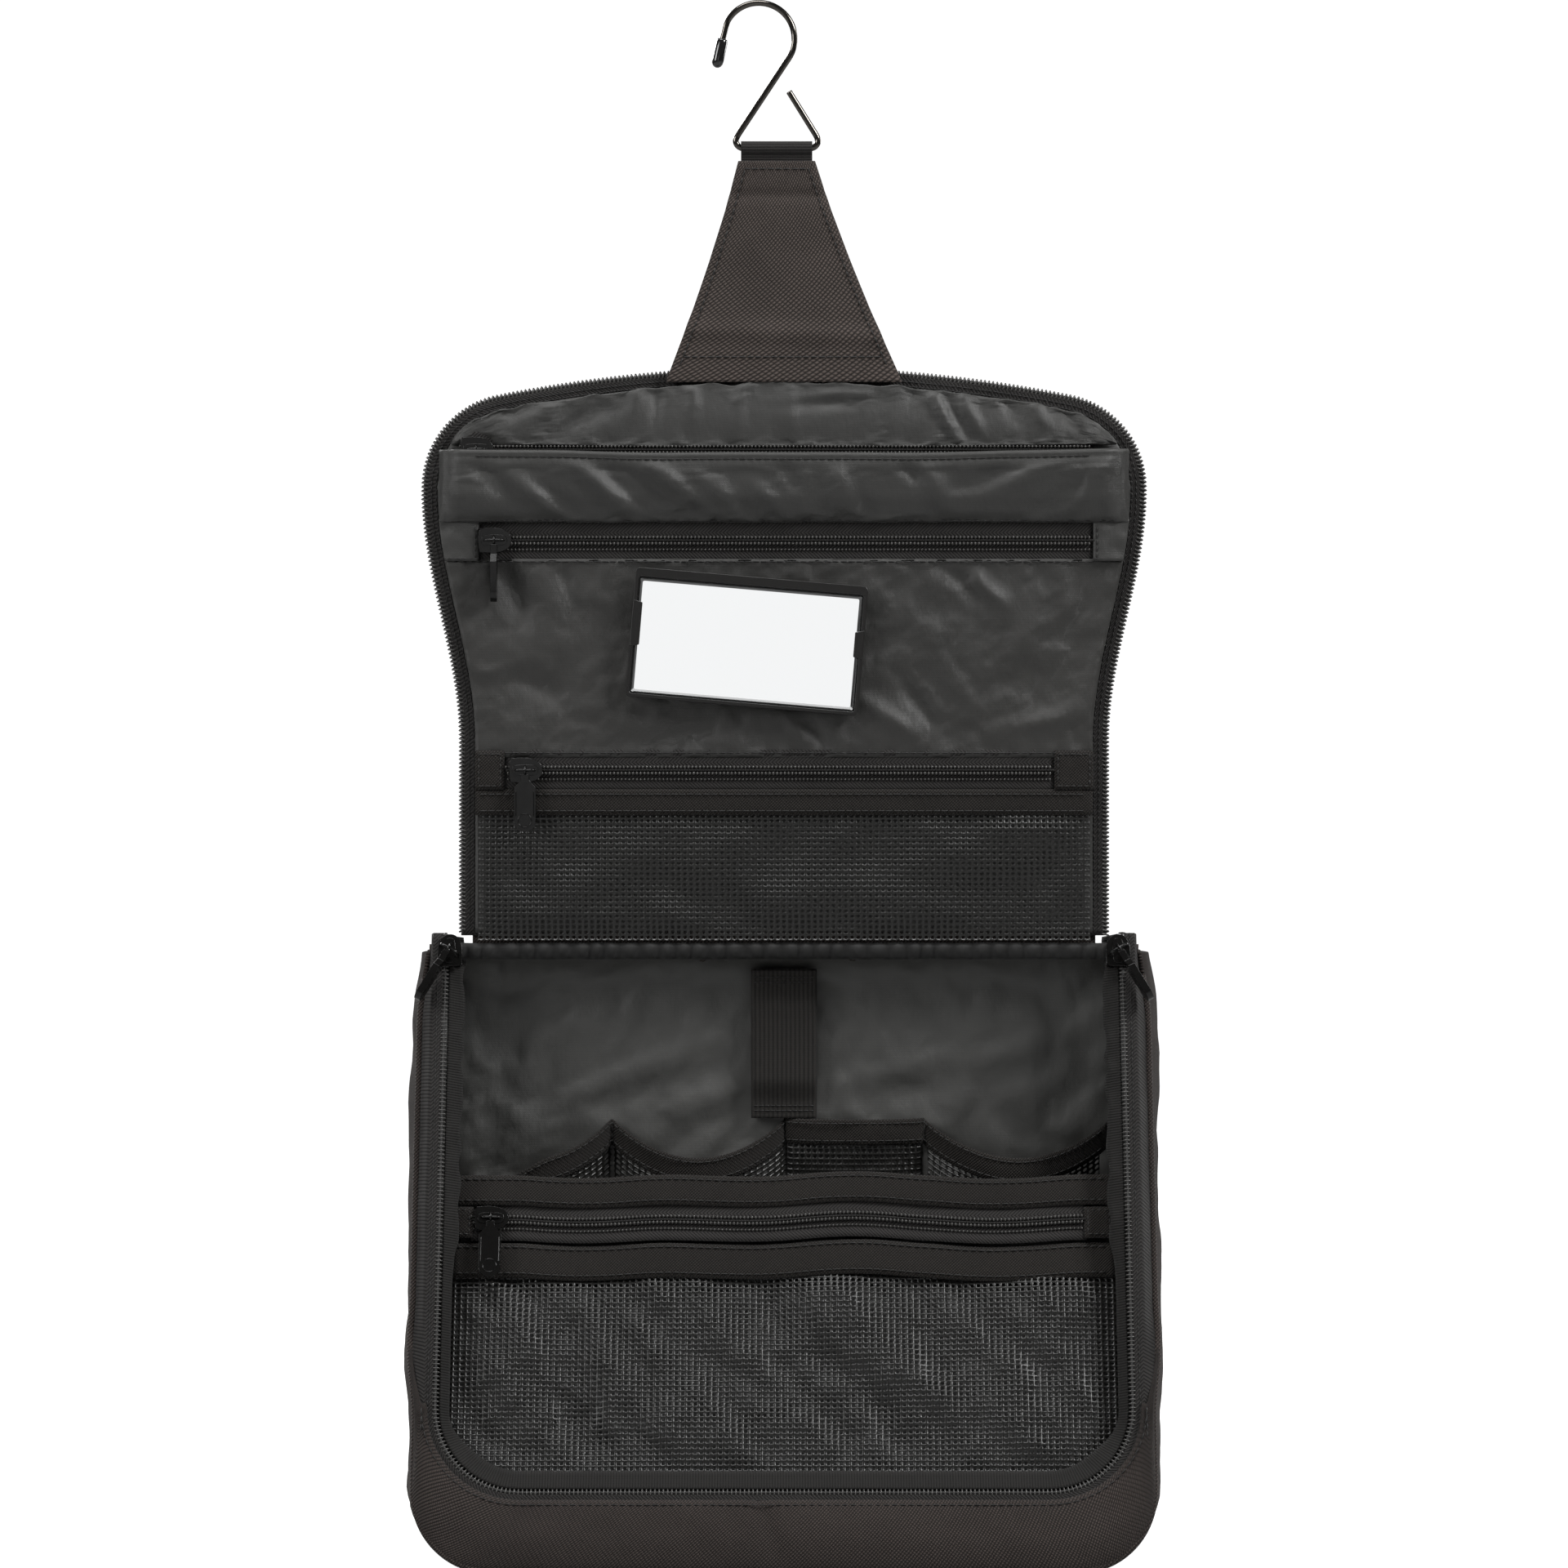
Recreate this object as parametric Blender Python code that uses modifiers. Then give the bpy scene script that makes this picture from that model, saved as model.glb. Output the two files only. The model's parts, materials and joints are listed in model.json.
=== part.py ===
"""Hanging toiletry bag, unzipped and hung up by its hook.

The bag is a soft wedge: a tall back, a gusset round three sides and a low net wall inside the front.
Its lid is hinged along the top of the back and zips round the front.  A tapered tab on the lid's free
edge carries a wire hook.  Every sewn layer, zip half, slider, puller and fitting is its own object.

Metres, +Z up, front towards -Y.  The origin is the centre of the flat base.
"""

import math

import bmesh
import bpy

MM = 0.001

# Body
HEIGHT = 203 * MM  # base to hinge line
DEPTH = 91.6 * MM  # at the base
BODY_HALF = 126 * MM  # outer face of the gusset
BODY_HALF_TOP = 121.5 * MM
NARROWING = 28 * MM  # height over which the sides draw in below the hinge
TOP_DEPTH = 22 * MM  # back face to hinge line
TOP_RADIUS = 19 * MM  # rounding of the back into the top
CORNER_RADIUS = 26 * MM  # lower corners seen from the front
SIDE_BULGE = 0.8 * MM
CLOTH = 1.6 * MM  # outer cloth with its foam
LINING = 0.8 * MM
GAP = 0.3 * MM  # between neighbouring pieces

BACK_Y = DEPTH / 2
HINGE_Y = BACK_Y - TOP_DEPTH
RAKE = math.atan2(DEPTH - TOP_DEPTH, HEIGHT)  # lean of the rim from the vertical

# Main zip: a U in the rim plane
RIM_HALF = 115 * MM
RIM_REACH = 188 * MM  # hinge to the bottom of the U
RIM_CORNER = 28 * MM
COIL = 1.1 * MM  # radius
TAPE = 0.8 * MM
TAPE_FLAT = 4 * MM  # from the coil's middle to where the side tapes turn back
TAPE_TURN = math.radians(60)
TAPE_TURN_LOW = 70 * MM  # heights between which the turn grows
TAPE_TURN_HIGH = 120 * MM
BINDING_DEPTH = 3.7 * MM  # behind the rim plane
BORDER_INNER = 2.9 * MM  # front border, measured outwards from the coil's middle
BORDER_OUTER = 7.6 * MM
BORDER_TOP = 85 * MM  # height of the border's side arms

# Lid, heights measured up from the hinge
LID_LENGTH = 197.5 * MM
LID_WAIST = 111.5 * MM  # half widths
LID_SHOULDER = 124.3 * MM
SHOULDER_LOW = 70 * MM
SHOULDER_HIGH = 154 * MM
LID_ARCH_RADIUS = 500 * MM
LID_CORNER_RADIUS = 33 * MM
LID_TAPE_FOOT = 12 * MM
LID_OFFSET = 1.5 * MM  # the zip lies this far behind the hinge line
LID_FRONT_HALF = 111.8 * MM  # widest the inner layer may be

# Pocket zips, measured from the middle of their tapes
CHAIN_HALF = 2.85 * MM
CHAIN_SLIT = 0.45 * MM
CHAIN_TOP = 1.8 * MM
TAPE_HALF_HEIGHT = 7 * MM
POCKET_TAPE = 0.6 * MM
SLIDER_LENGTH = 10 * MM
SLIDER_HALF = 3.9 * MM
PLATE = 0.6 * MM
WEB_HALF = 0.2 * MM
BRIDGE_HEIGHT = 1.6 * MM  # bar centre above the slider's top plate
BRIDGE_RADIUS = 0.35 * MM
BRIDGE_HALF = 3 * MM
RING_RADIUS = 1.2 * MM
RING_WIRE = 0.35 * MM
PULLER_LENGTH = 21 * MM
PULLER_HALF = 3.7 * MM
PULLER_NECK = 1.3 * MM
PULLER_PLATE = 1.0 * MM
BAR_OUT = CHAIN_TOP + GAP + PLATE + BRIDGE_HEIGHT

# Main sliders and their pullers
MAIN_PARK = -3 * MM  # slider centre below the hinge, along the rim
MAIN_BAR_OUT = 5.9 * MM
MAIN_PULLER_HALF = 3.2 * MM
MAIN_HANG = math.radians(30)  # outwards from straight down the rim

# Lid pockets: zip height, chain start, chain end, slider position
LID_LAYER = 1.6 * MM  # middle of the inner layer
TOP_ZIP = (168.0 * MM, -110 * MM, 105 * MM, -104.4 * MM)
UPPER_ZIP = (137.2 * MM, -103.5 * MM, 105 * MM, -98.3 * MM)
NET_ZIP = (59.2 * MM, -94.4 * MM, 91.7 * MM, -87.8 * MM)
FLAP_LOW = 144.6 * MM
FLAP_TOP = 166.5 * MM
FLAP_OUT = 8.0 * MM
NET_BAND_LOW = 44.4 * MM
NET_LOW = 8 * MM

# Mirror
MIRROR_CENTRE = (-12.6 * MM, 102.8 * MM)
MIRROR_SIZE = (79 * MM, 44 * MM)
MIRROR_TURN = math.radians(-4.9)
PATCH_SIZE = (60 * MM, 22 * MM)

# Front wall, a plane behind the rim plane
WALL_FOOT = -184 * MM  # along the rim
WALL_SET_BACK = 8 * MM
WALL_TILT = math.radians(3.9)
WALL_HALF = 112 * MM
WALL_TOP = 106 * MM
WALL_CORNER = 24 * MM
WALL_LAYER = 2.4 * MM
WALL_ZIP = (90.5 * MM, -105 * MM, 100 * MM, -98.4 * MM)

# Bottle holder on the back wall
HOLDER_LOW = 62 * MM
HOLDER_TOP = 137 * MM
HOLDER_SEAMS = (-112 * MM, -59 * MM, 0.5 * MM, 48 * MM, 112 * MM)
HOLDER_BULGE = 15 * MM

# Tab and hook, heights above the hinge
TAB_LOW = 191.8 * MM
TAB_TOP = 265.6 * MM
TAB_HALF_LOW = 39.5 * MM
TAB_HALF_TOP = 12.6 * MM
TAB_LEAN = -2.5 * MM  # the top is a little left of the middle
TAB_OUT = 1.2 * MM
TAB_FOLD = 192.5 * MM
HOOK_WIRE = 1.05 * MM
HOOK_BAR = 270.4 * MM
HOOK_RADIUS = 12.2 * MM
HOOK_CENTRE = (-8.6 * MM, 307.7 * MM)
HOOK_TIP = (-26.7 * MM, 296.1 * MM)
HOOK_TIP_RADIUS = 1.95 * MM
HOOK_TIP_LENGTH = 10 * MM

COLOURS = {
    "outer_cloth": ((0.030, 0.026, 0.024), 0.85, 0.0),
    "satin": ((0.034, 0.035, 0.033), 0.45, 0.0),
    "webbing": ((0.018, 0.017, 0.016), 0.90, 0.0),
    "net": ((0.020, 0.020, 0.019), 0.40, 0.0),
    "zip_tape": ((0.014, 0.014, 0.014), 0.85, 0.0),
    "zip_coil": ((0.012, 0.012, 0.012), 0.30, 0.0),
    "black_metal": ((0.010, 0.010, 0.010), 0.18, 0.9),
    "hook_metal": ((0.020, 0.019, 0.018), 0.20, 1.0),
    "soft_plastic": ((0.008, 0.008, 0.008), 0.25, 0.0),
    "frame_plastic": ((0.012, 0.012, 0.012), 0.40, 0.0),
    "mirror_glass": ((0.90, 0.91, 0.92), 0.02, 1.0),
}


# ---------------------------------------------------------------- scene, materials, frames


def clear_scene():
    for obj in list(bpy.data.objects):
        bpy.data.objects.remove(obj, do_unlink=True)


def make_materials():
    made = {}
    for name, (rgb, roughness, metallic) in COLOURS.items():
        mat = bpy.data.materials.new(name)
        mat.use_nodes = True
        shader = mat.node_tree.nodes["Principled BSDF"]
        shader.inputs["Base Color"].default_value = (*rgb, 1.0)
        shader.inputs["Roughness"].default_value = roughness
        shader.inputs["Metallic"].default_value = metallic
        made[name] = mat
    return made


clear_scene()
MATERIALS = make_materials()
PARTS = bpy.data.collections.new("toiletry_bag")
HELPERS = bpy.data.collections.new("cutters")
for _collection in (PARTS, HELPERS):
    bpy.context.scene.collection.children.link(_collection)


def frame(name, y, z, tilt):
    """An empty with X to the right, Y up a plane that leans back by tilt, and Z out of that plane."""
    empty = bpy.data.objects.new(name, None)
    empty.location = (0, y, z)
    empty.rotation_euler = (math.pi / 2 - tilt, 0, 0)
    PARTS.objects.link(empty)
    return empty


def pivot(name, parent, at, turn=0.0):
    """An empty on a joint axis: its X is the axis, its Y points away from where the piece hangs."""
    empty = bpy.data.objects.new(name, None)
    empty.parent = parent
    empty.location = at
    empty.rotation_euler = (0, 0, turn)
    PARTS.objects.link(empty)
    return empty


def hang(axis, *pieces):
    """Parents pieces of the same frame to the joint axis they turn on, without moving them."""
    for piece in pieces:
        piece.location -= axis.location
        piece.parent = axis


# ---------------------------------------------------------------- basic shapes


def register(obj, name, parent, material):
    obj.name = name
    obj.parent = parent
    obj.data.materials.clear()
    obj.data.materials.append(MATERIALS[material])
    if obj.name not in PARTS.objects:
        PARTS.objects.link(obj)
    return obj


def poly_curve(name, rings, cyclic=True):
    """A curve of straight segments: flat when its points have two numbers, in space when they have three."""
    data = bpy.data.curves.new(name, "CURVE")
    data.dimensions = "2D" if len(rings[0][0]) == 2 else "3D"
    for ring in rings:
        spline = data.splines.new("POLY")
        spline.points.add(len(ring) - 1)
        for point, at in zip(spline.points, ring):
            point.co = (at[0], at[1], at[2] if len(at) > 2 else 0.0, 1.0)
        spline.use_cyclic_u = cyclic
    return bpy.data.objects.new(name, data)


def slab(name, rings, low, high, parent, material):
    """A flat piece: outlines across and up its frame, filled, between two distances out of the plane."""
    obj = poly_curve(name, rings)
    obj.data.fill_mode = "BOTH"
    obj.data.extrude = (high - low) / 2
    obj.location = (0, 0, (low + high) / 2)
    return register(obj, name, parent, material)


def beam(name, rings, x_low, x_high, parent, material):
    """A straight piece: profiles in (up, out) of its frame, drawn out across it."""
    obj = poly_curve(name, rings)
    obj.data.fill_mode = "BOTH"
    obj.data.extrude = (x_high - x_low) / 2
    obj.location = ((x_low + x_high) / 2, 0, 0)
    obj.rotation_euler = (math.pi / 2, 0, math.pi / 2)
    return register(obj, name, parent, material)


def wire(name, points, radius, parent, material):
    obj = poly_curve(name, [points], cyclic=False)
    obj.data.bevel_depth = radius
    obj.data.bevel_resolution = 2
    obj.data.use_fill_caps = True
    return register(obj, name, parent, material)


def sheet(name, rows, thickness, material):
    """A curved cloth through rows of points in the world, thickened evenly both ways."""
    mesh = bpy.data.meshes.new(name)
    count = len(rows[0])
    points = [tuple(p) for row in rows for p in row]
    faces = [
        (r * count + c, r * count + c + 1, (r + 1) * count + c + 1, (r + 1) * count + c)
        for r in range(len(rows) - 1)
        for c in range(count - 1)
    ]
    mesh.from_pydata(points, [], faces)
    obj = bpy.data.objects.new(name, mesh)
    solid = obj.modifiers.new("thickness", "SOLIDIFY")
    solid.thickness = thickness
    solid.offset = 0
    return register(obj, name, None, material)


def as_mesh(obj):
    """Turns a curve object into a welded mesh object with the same name, parent, place and material."""
    bpy.context.view_layer.update()
    mesh = bpy.data.meshes.new_from_object(obj.evaluated_get(bpy.context.evaluated_depsgraph_get()))
    bm = bmesh.new()
    bm.from_mesh(mesh)
    bmesh.ops.remove_doubles(bm, verts=bm.verts, dist=1e-6)
    bmesh.ops.recalc_face_normals(bm, faces=bm.faces)
    bm.to_mesh(mesh)
    bm.free()
    name, parent, place = obj.name, obj.parent, obj.matrix_basis.copy()
    bpy.data.objects.remove(obj, do_unlink=True)
    solid = bpy.data.objects.new(name, mesh)
    solid.parent = parent
    solid.matrix_basis = place
    PARTS.objects.link(solid)
    return solid


def combine(obj, other, operation="UNION", solver="EXACT"):
    """Joins another object to obj, or cuts it away; the other becomes a hidden helper."""
    PARTS.objects.unlink(other)
    HELPERS.objects.link(other)
    other.hide_render = True
    other.display_type = "WIRE"
    modifier = obj.modifiers.new(operation.lower(), "BOOLEAN")
    modifier.operation = operation
    modifier.object = other
    modifier.solver = solver
    return obj


# ---------------------------------------------------------------- outlines


def box(x_low, x_high, y_low, y_high):
    return [(x_low, y_low), (x_high, y_low), (x_high, y_high), (x_low, y_high)]


def arc(cx, cy, radius, start, end, steps=6):
    """Points on a circle, from start to end degrees."""
    angles = [math.radians(start + (end - start) * i / steps) for i in range(steps + 1)]
    return [(cx + radius * math.cos(a), cy + radius * math.sin(a)) for a in angles]


def rounded(width, height, radius, steps=3):
    across, up = width / 2 - radius, height / 2 - radius
    return (
        arc(across, up, radius, 0, 90, steps)
        + arc(-across, up, radius, 90, 180, steps)
        + arc(-across, -up, radius, 180, 270, steps)
        + arc(across, -up, radius, 270, 360, steps)
    )


def placed(points, centre, angle=0.0):
    c, s = math.cos(angle), math.sin(angle)
    return [(centre[0] + x * c - y * s, centre[1] + x * s + y * c) for x, y in points]


def mirrored(points):
    return [(-x, y) for x, y in reversed(points)]


def both_sides(right):
    """A closed or open outline from its right half, which ends on the middle line."""
    return right + mirrored(right)[1:]


def smoothstep(t):
    t = max(0.0, min(1.0, t))
    return t * t * (3 - 2 * t)


def spread(low, high, count):
    return [low + (high - low) * i / (count - 1) for i in range(count)]


def lid_side(height, inset):
    """Half width of the lid at a height above the hinge: a waist that opens into the shoulders."""
    grow = smoothstep((height - SHOULDER_LOW) / (SHOULDER_HIGH - SHOULDER_LOW))
    return LID_WAIST + (LID_SHOULDER - LID_WAIST) * grow - inset


def lid_half(inset, foot):
    """The lid's right-hand edge, from its foot round the corner to the middle of the free edge."""
    arch_y = LID_LENGTH - LID_ARCH_RADIUS
    reach = LID_ARCH_RADIUS - LID_CORNER_RADIUS
    cx = LID_SHOULDER - LID_CORNER_RADIUS
    cy = arch_y + math.sqrt(reach**2 - cx**2)
    lean = math.degrees(math.asin(cx / reach))
    side = [(lid_side(h, inset), h) for h in spread(foot, cy, 9)[:-1]]
    corner = arc(cx, cy, LID_CORNER_RADIUS - inset, 0, 90 - lean, 6)
    return side + corner + arc(0, arch_y, LID_ARCH_RADIUS - inset, 90 - lean * 0.7, 90, 3)


def lid_panel(low, high, inset=9 * MM):
    """A band right across the lid between two heights."""
    right = [(min(LID_FRONT_HALF, lid_side(h, inset)), h) for h in spread(low, high, 4)]
    return right + mirrored(right)


def lid_crown(low, inset):
    """The part of the lid above a height."""
    upper = [p for p in lid_half(inset, LID_TAPE_FOOT) if p[1] > low + 2 * MM]
    return both_sides([(upper[0][0], low)] + upper)


def rim_half(grow, top=0.0):
    """Right half of a U round the rim, grown outwards from the coil's line, down to its middle."""
    radius = RIM_CORNER + grow
    x = RIM_HALF + grow
    low = -RIM_REACH - grow
    return [(x, top)] + arc(x - radius, low + radius, radius, 0, -90, 6) + [(0.0, low)]


def rim_band(inner, outer, top):
    """A closed outline between two Us round the rim."""
    return both_sides(rim_half(outer, top)) + list(reversed(both_sides(rim_half(inner, top))))


def wall_outline(low, high, half=WALL_HALF, corner=0.0):
    right = arc(half - corner, low + corner, corner, -90, 0, 5) if corner else [(half, low)]
    right = right + [(half, high)]
    return right + mirrored(right)


# ---------------------------------------------------------------- body


def rim_y(z):
    return HINGE_Y - (HEIGHT - z) * math.tan(RAKE)


def tape_turn(z):
    return smoothstep((z - TAPE_TURN_LOW) / (TAPE_TURN_HIGH - TAPE_TURN_LOW))


def tape_edge(z):
    """Where the side tape ends: half width, and depth behind the rim plane."""
    turn = tape_turn(z)
    tail = (1.5 * MM + 5.5 * MM * turn) * (0.2 + 0.8 * smoothstep((HEIGHT - z) / (25 * MM)))
    angle = TAPE_TURN * turn
    return RIM_HALF + TAPE_FLAT + tail * math.cos(angle), tail * math.sin(angle)


def back_y(z, inset=0.0):
    """The back face, rounded over towards the hinge."""
    over = max(0.0, z - (HEIGHT - TOP_RADIUS))
    radius = TOP_RADIUS - inset
    over = min(over, radius)
    return BACK_Y - TOP_RADIUS + math.sqrt(max(0.0, radius**2 - over**2))


def body_half(z):
    return BODY_HALF_TOP + (BODY_HALF - BODY_HALF_TOP) * smoothstep((HEIGHT - z) / NARROWING)


def gusset_row(t, columns, offset):
    """One row of the gusset, t from back to front; columns are heights, or degrees round a corner."""
    row = []
    for kind, value in columns:
        radius = CORNER_RADIUS - offset
        z = value if kind == "height" else CORNER_RADIUS - radius * math.sin(math.radians(value))
        at_back = body_half(z) - offset
        edge, depth = tape_edge(z)
        at_front = edge + CLOTH / 2 + 0.9 * MM - (offset - CLOTH / 2)
        half = at_back + (at_front - at_back) * smoothstep(t) + SIDE_BULGE * 4 * t * (1 - t)
        x = half if kind == "height" else half - radius + radius * math.cos(math.radians(value))
        y_back = back_y(z, offset)
        y_front = rim_y(z) + (1.1 * MM + depth) / math.cos(RAKE) + (offset - CLOTH / 2) * 0.4
        row.append((x, y_back + (y_front - y_back) * t, z))
    return row


def gusset_rows(columns, offset):
    return [gusset_row(t, columns, offset) for t in spread(0.0, 1.0, 5)]


def flip(rows):
    return [[(-x, y, z) for x, y, z in reversed(row)] for row in rows]


def across(rows):
    """Adds the mirror image of each row to its own left."""
    return [row + [(-x, y, z) for x, y, z in reversed(row)] for row in rows]


def build_gusset():
    seam = CORNER_RADIUS + GAP
    side = [("height", z) for z in spread(seam, HEIGHT - 3 * MM, 11)]
    corner = [("degrees", a) for a in spread(0.0, 90.0, 6)]
    outer = CLOTH / 2
    right = gusset_rows(side, outer)
    sheet("side_gusset_right", right, CLOTH, "outer_cloth")
    sheet("side_gusset_left", flip(right), CLOTH, "outer_cloth")
    sheet("base_gusset", across(gusset_rows(corner, outer)), CLOTH, "outer_cloth")
    inner = CLOTH + GAP + LINING / 2
    whole = list(reversed(side[1:-1])) + corner
    sheet("gusset_lining", across(gusset_rows(whole, inner)), LINING, "satin")


def back_rows(inset, side_gap, low, front):
    """Rows up the back and over the top to the hinge, narrowing into the lower corners."""
    radius = CORNER_RADIUS - side_gap
    path = [(BACK_Y - inset, low + (CORNER_RADIUS - low) * math.sin(math.radians(a)) ** 2)
            for a in spread(0, 90, 5)]
    path += [(BACK_Y - inset, z) for z in spread(70 * MM, HEIGHT - TOP_RADIUS, 3)]
    roll = TOP_RADIUS - inset
    path += arc(BACK_Y - TOP_RADIUS, HEIGHT - TOP_RADIUS, roll, 18, 90, 4)
    path += [(front, HEIGHT - inset)]
    rows = []
    for y, z in path:
        half = body_half(z) - side_gap
        drop = max(0.0, CORNER_RADIUS - z)
        half = half - radius + math.sqrt(max(0.0, radius**2 - drop**2))
        rows.append([(-half, y, z), (-half / 2, y, z), (half / 2, y, z), (half, y, z)])
    return rows


def build_back():
    sheet("back_panel", back_rows(CLOTH / 2, CLOTH + GAP, CLOTH + GAP + 0.1 * MM, HINGE_Y + 3 * MM),
          CLOTH, "outer_cloth")
    inset = CLOTH + GAP + LINING / 2
    sheet("back_lining", back_rows(inset, inset + LINING / 2 + GAP, inset + LINING / 2 + GAP + 0.1 * MM,
                                   HINGE_Y + 5 * MM), LINING, "satin")


def build_rim(rim):
    top = -6 * MM
    sheet("body_zip_tape", tape_rows(), TAPE, "zip_tape")
    wire("body_zip_coil", [(x, y, 0.0) for x, y in both_sides(rim_half(0.0, 4 * MM))], COIL, rim, "zip_coil")
    slab("rim_binding", [rim_band(-8 * MM, -1.5 * MM, top)], -BINDING_DEPTH - 0.5 * MM,
         -BINDING_DEPTH + 0.5 * MM, rim, "webbing")
    slab("front_border", [border_outline()], 0.7 * MM, 0.7 * MM + CLOTH, rim, "outer_cloth")


def tape_rows():
    """The zip tape round the rim in the world: flat under the border, turned back along the sides."""
    start = COIL + GAP
    line = rim_half(0.0, -8 * MM)
    line = [(RIM_HALF, y) for y in spread(-8 * MM, line[1][1], 12)[:-1]] + line[1:]
    rows = []
    centre_y = -RIM_REACH + RIM_CORNER
    for x, y in line:
        height = HEIGHT + y * math.cos(RAKE)
        edge, depth = tape_edge(height)
        tail = edge - RIM_HALF
        if y < centre_y:
            dx, dy = x - (RIM_HALF - RIM_CORNER), y - centre_y
            if x < RIM_HALF - RIM_CORNER:
                dx = 0.0
            size = math.hypot(dx, dy)
            dx, dy = dx / size, dy / size
        else:
            dx, dy = 1.0, 0.0
        steps = [(start, 0.0), (TAPE_FLAT, 0.0), (tail, depth)]
        rows.append([rim_point(x + dx * s, y + dy * s, -d) for s, d in steps])
    return rows + [[(-x, y, z) for x, y, z in row] for row in reversed(rows[:-1])]


def rim_point(x, y, out):
    """A point of the rim's frame, in the world."""
    s, c = math.sin(RAKE), math.cos(RAKE)
    return (x, HINGE_Y + y * s - out * c, HEIGHT + y * c + out * s)


def border_outline():
    """The front border under the zip, with short arms up both sides."""
    top = -(HEIGHT - BORDER_TOP) / math.cos(RAKE)
    foot = -(HEIGHT - 0.9 * MM) / math.cos(RAKE)
    corner = CORNER_RADIUS - 3 * MM
    half = RIM_HALF + BORDER_OUTER
    outer = [(half, top)] + arc(half - corner, foot + corner, corner, 0, -90, 6) + [(0.0, foot)]
    return both_sides(outer) + list(reversed(both_sides(rim_half(BORDER_INNER, top))))


def build_holder():
    """The gathered net on the back wall that holds bottles, and the ribbon along its top."""
    wall = BACK_Y - CLOTH - GAP - LINING - 1.2 * MM

    def depth_at(x):
        for left, right in zip(HOLDER_SEAMS, HOLDER_SEAMS[1:]):
            if left <= x <= right:
                return HOLDER_BULGE * math.sin(math.pi * (x - left) / (right - left)) ** 2
        return 0.0

    xs = [x for left, right in zip(HOLDER_SEAMS, HOLDER_SEAMS[1:]) for x in spread(left, right, 7)[:-1]]
    xs = xs + [HOLDER_SEAMS[-1]]
    rows = [[(x, wall - depth_at(x) * k, z) for x in xs]
            for z, k in ((HOLDER_LOW, 0.7), (HOLDER_TOP - 2 * MM, 1.0))]
    sheet("bottle_net", rows, 0.6 * MM, "net")
    ribbon = [[(x, wall - depth_at(x), z) for x in xs] for z in (HOLDER_TOP - 1.4 * MM, HOLDER_TOP + 3 * MM)]
    sheet("bottle_net_ribbon", ribbon, 1.0 * MM, "webbing")


def build_strap(world_back):
    """The elastic strap: its ends lie on the back lining and its middle stands off."""
    path = [(143.7 * MM, 0.6 * MM), (150 * MM, 0.9 * MM), (169 * MM, 4 * MM), (181 * MM, 0.9 * MM)]
    front = [(z, out + 0.6 * MM) for z, out in path]
    rear = [(z, out - 0.6 * MM + 0.3 * MM) for z, out in path]
    beam("elastic_strap", [rear + list(reversed(front))], -11.2 * MM, 11.2 * MM, world_back, "webbing")


# ---------------------------------------------------------------- zips


def zip_halves(name, spec, layer, parent):
    """Upper and lower tape, each with its row of coil."""
    height, x_low, x_high, _ = spec
    half = POCKET_TAPE / 2
    for side, sign in (("upper", 1), ("lower", -1)):
        profile = [
            (CHAIN_SLIT, -half),
            (TAPE_HALF_HEIGHT, -half),
            (TAPE_HALF_HEIGHT, half),
            (CHAIN_HALF, half),
            (CHAIN_HALF - 0.3 * MM, CHAIN_TOP - 0.4 * MM),
            (CHAIN_HALF - 0.8 * MM, CHAIN_TOP),
            (CHAIN_SLIT + 0.4 * MM, CHAIN_TOP),
            (CHAIN_SLIT, CHAIN_TOP - 0.4 * MM),
        ]
        points = [(height + sign * u, layer + out) for u, out in profile]
        beam(f"{name}_zip_{side}", [points], x_low, x_high, parent, "zip_tape")


def slider(name, parent, centre, top_out, low_out, bar_out, bar_turn, turn=0.0):
    """Two plates joined by a web, under a bridge; it runs along X of its own frame."""
    own = pivot(name + "_frame", parent, (centre[0], centre[1], 0.0), turn)
    web = WEB_HALF
    top, low = top_out + PLATE, low_out - PLATE
    profile = [
        (-SLIDER_HALF, low), (SLIDER_HALF, low), (SLIDER_HALF, low_out), (web, low_out),
        (web, top_out), (SLIDER_HALF, top_out), (SLIDER_HALF - 0.5 * MM, top), (-SLIDER_HALF + 0.5 * MM, top),
        (-SLIDER_HALF, top_out), (-web, top_out), (-web, low_out), (-SLIDER_HALF, low_out),
    ]
    body = beam(name, [profile], -SLIDER_LENGTH / 2, SLIDER_LENGTH / 2, own, "black_metal")
    body = register(as_mesh(body), name, own, "black_metal")
    c, s = math.cos(bar_turn), math.sin(bar_turn)
    legs = [(-BRIDGE_HALF, top - PLATE / 2), (-BRIDGE_HALF, bar_out), (BRIDGE_HALF, bar_out),
            (BRIDGE_HALF, top - PLATE / 2)]
    path = [(u * c, u * s, out) for u, out in legs]
    bridge = wire(name + "_bridge", path, BRIDGE_RADIUS, own, "black_metal")
    bridge = as_mesh(bridge)
    return combine(body, bridge, solver="MANIFOLD")


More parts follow.
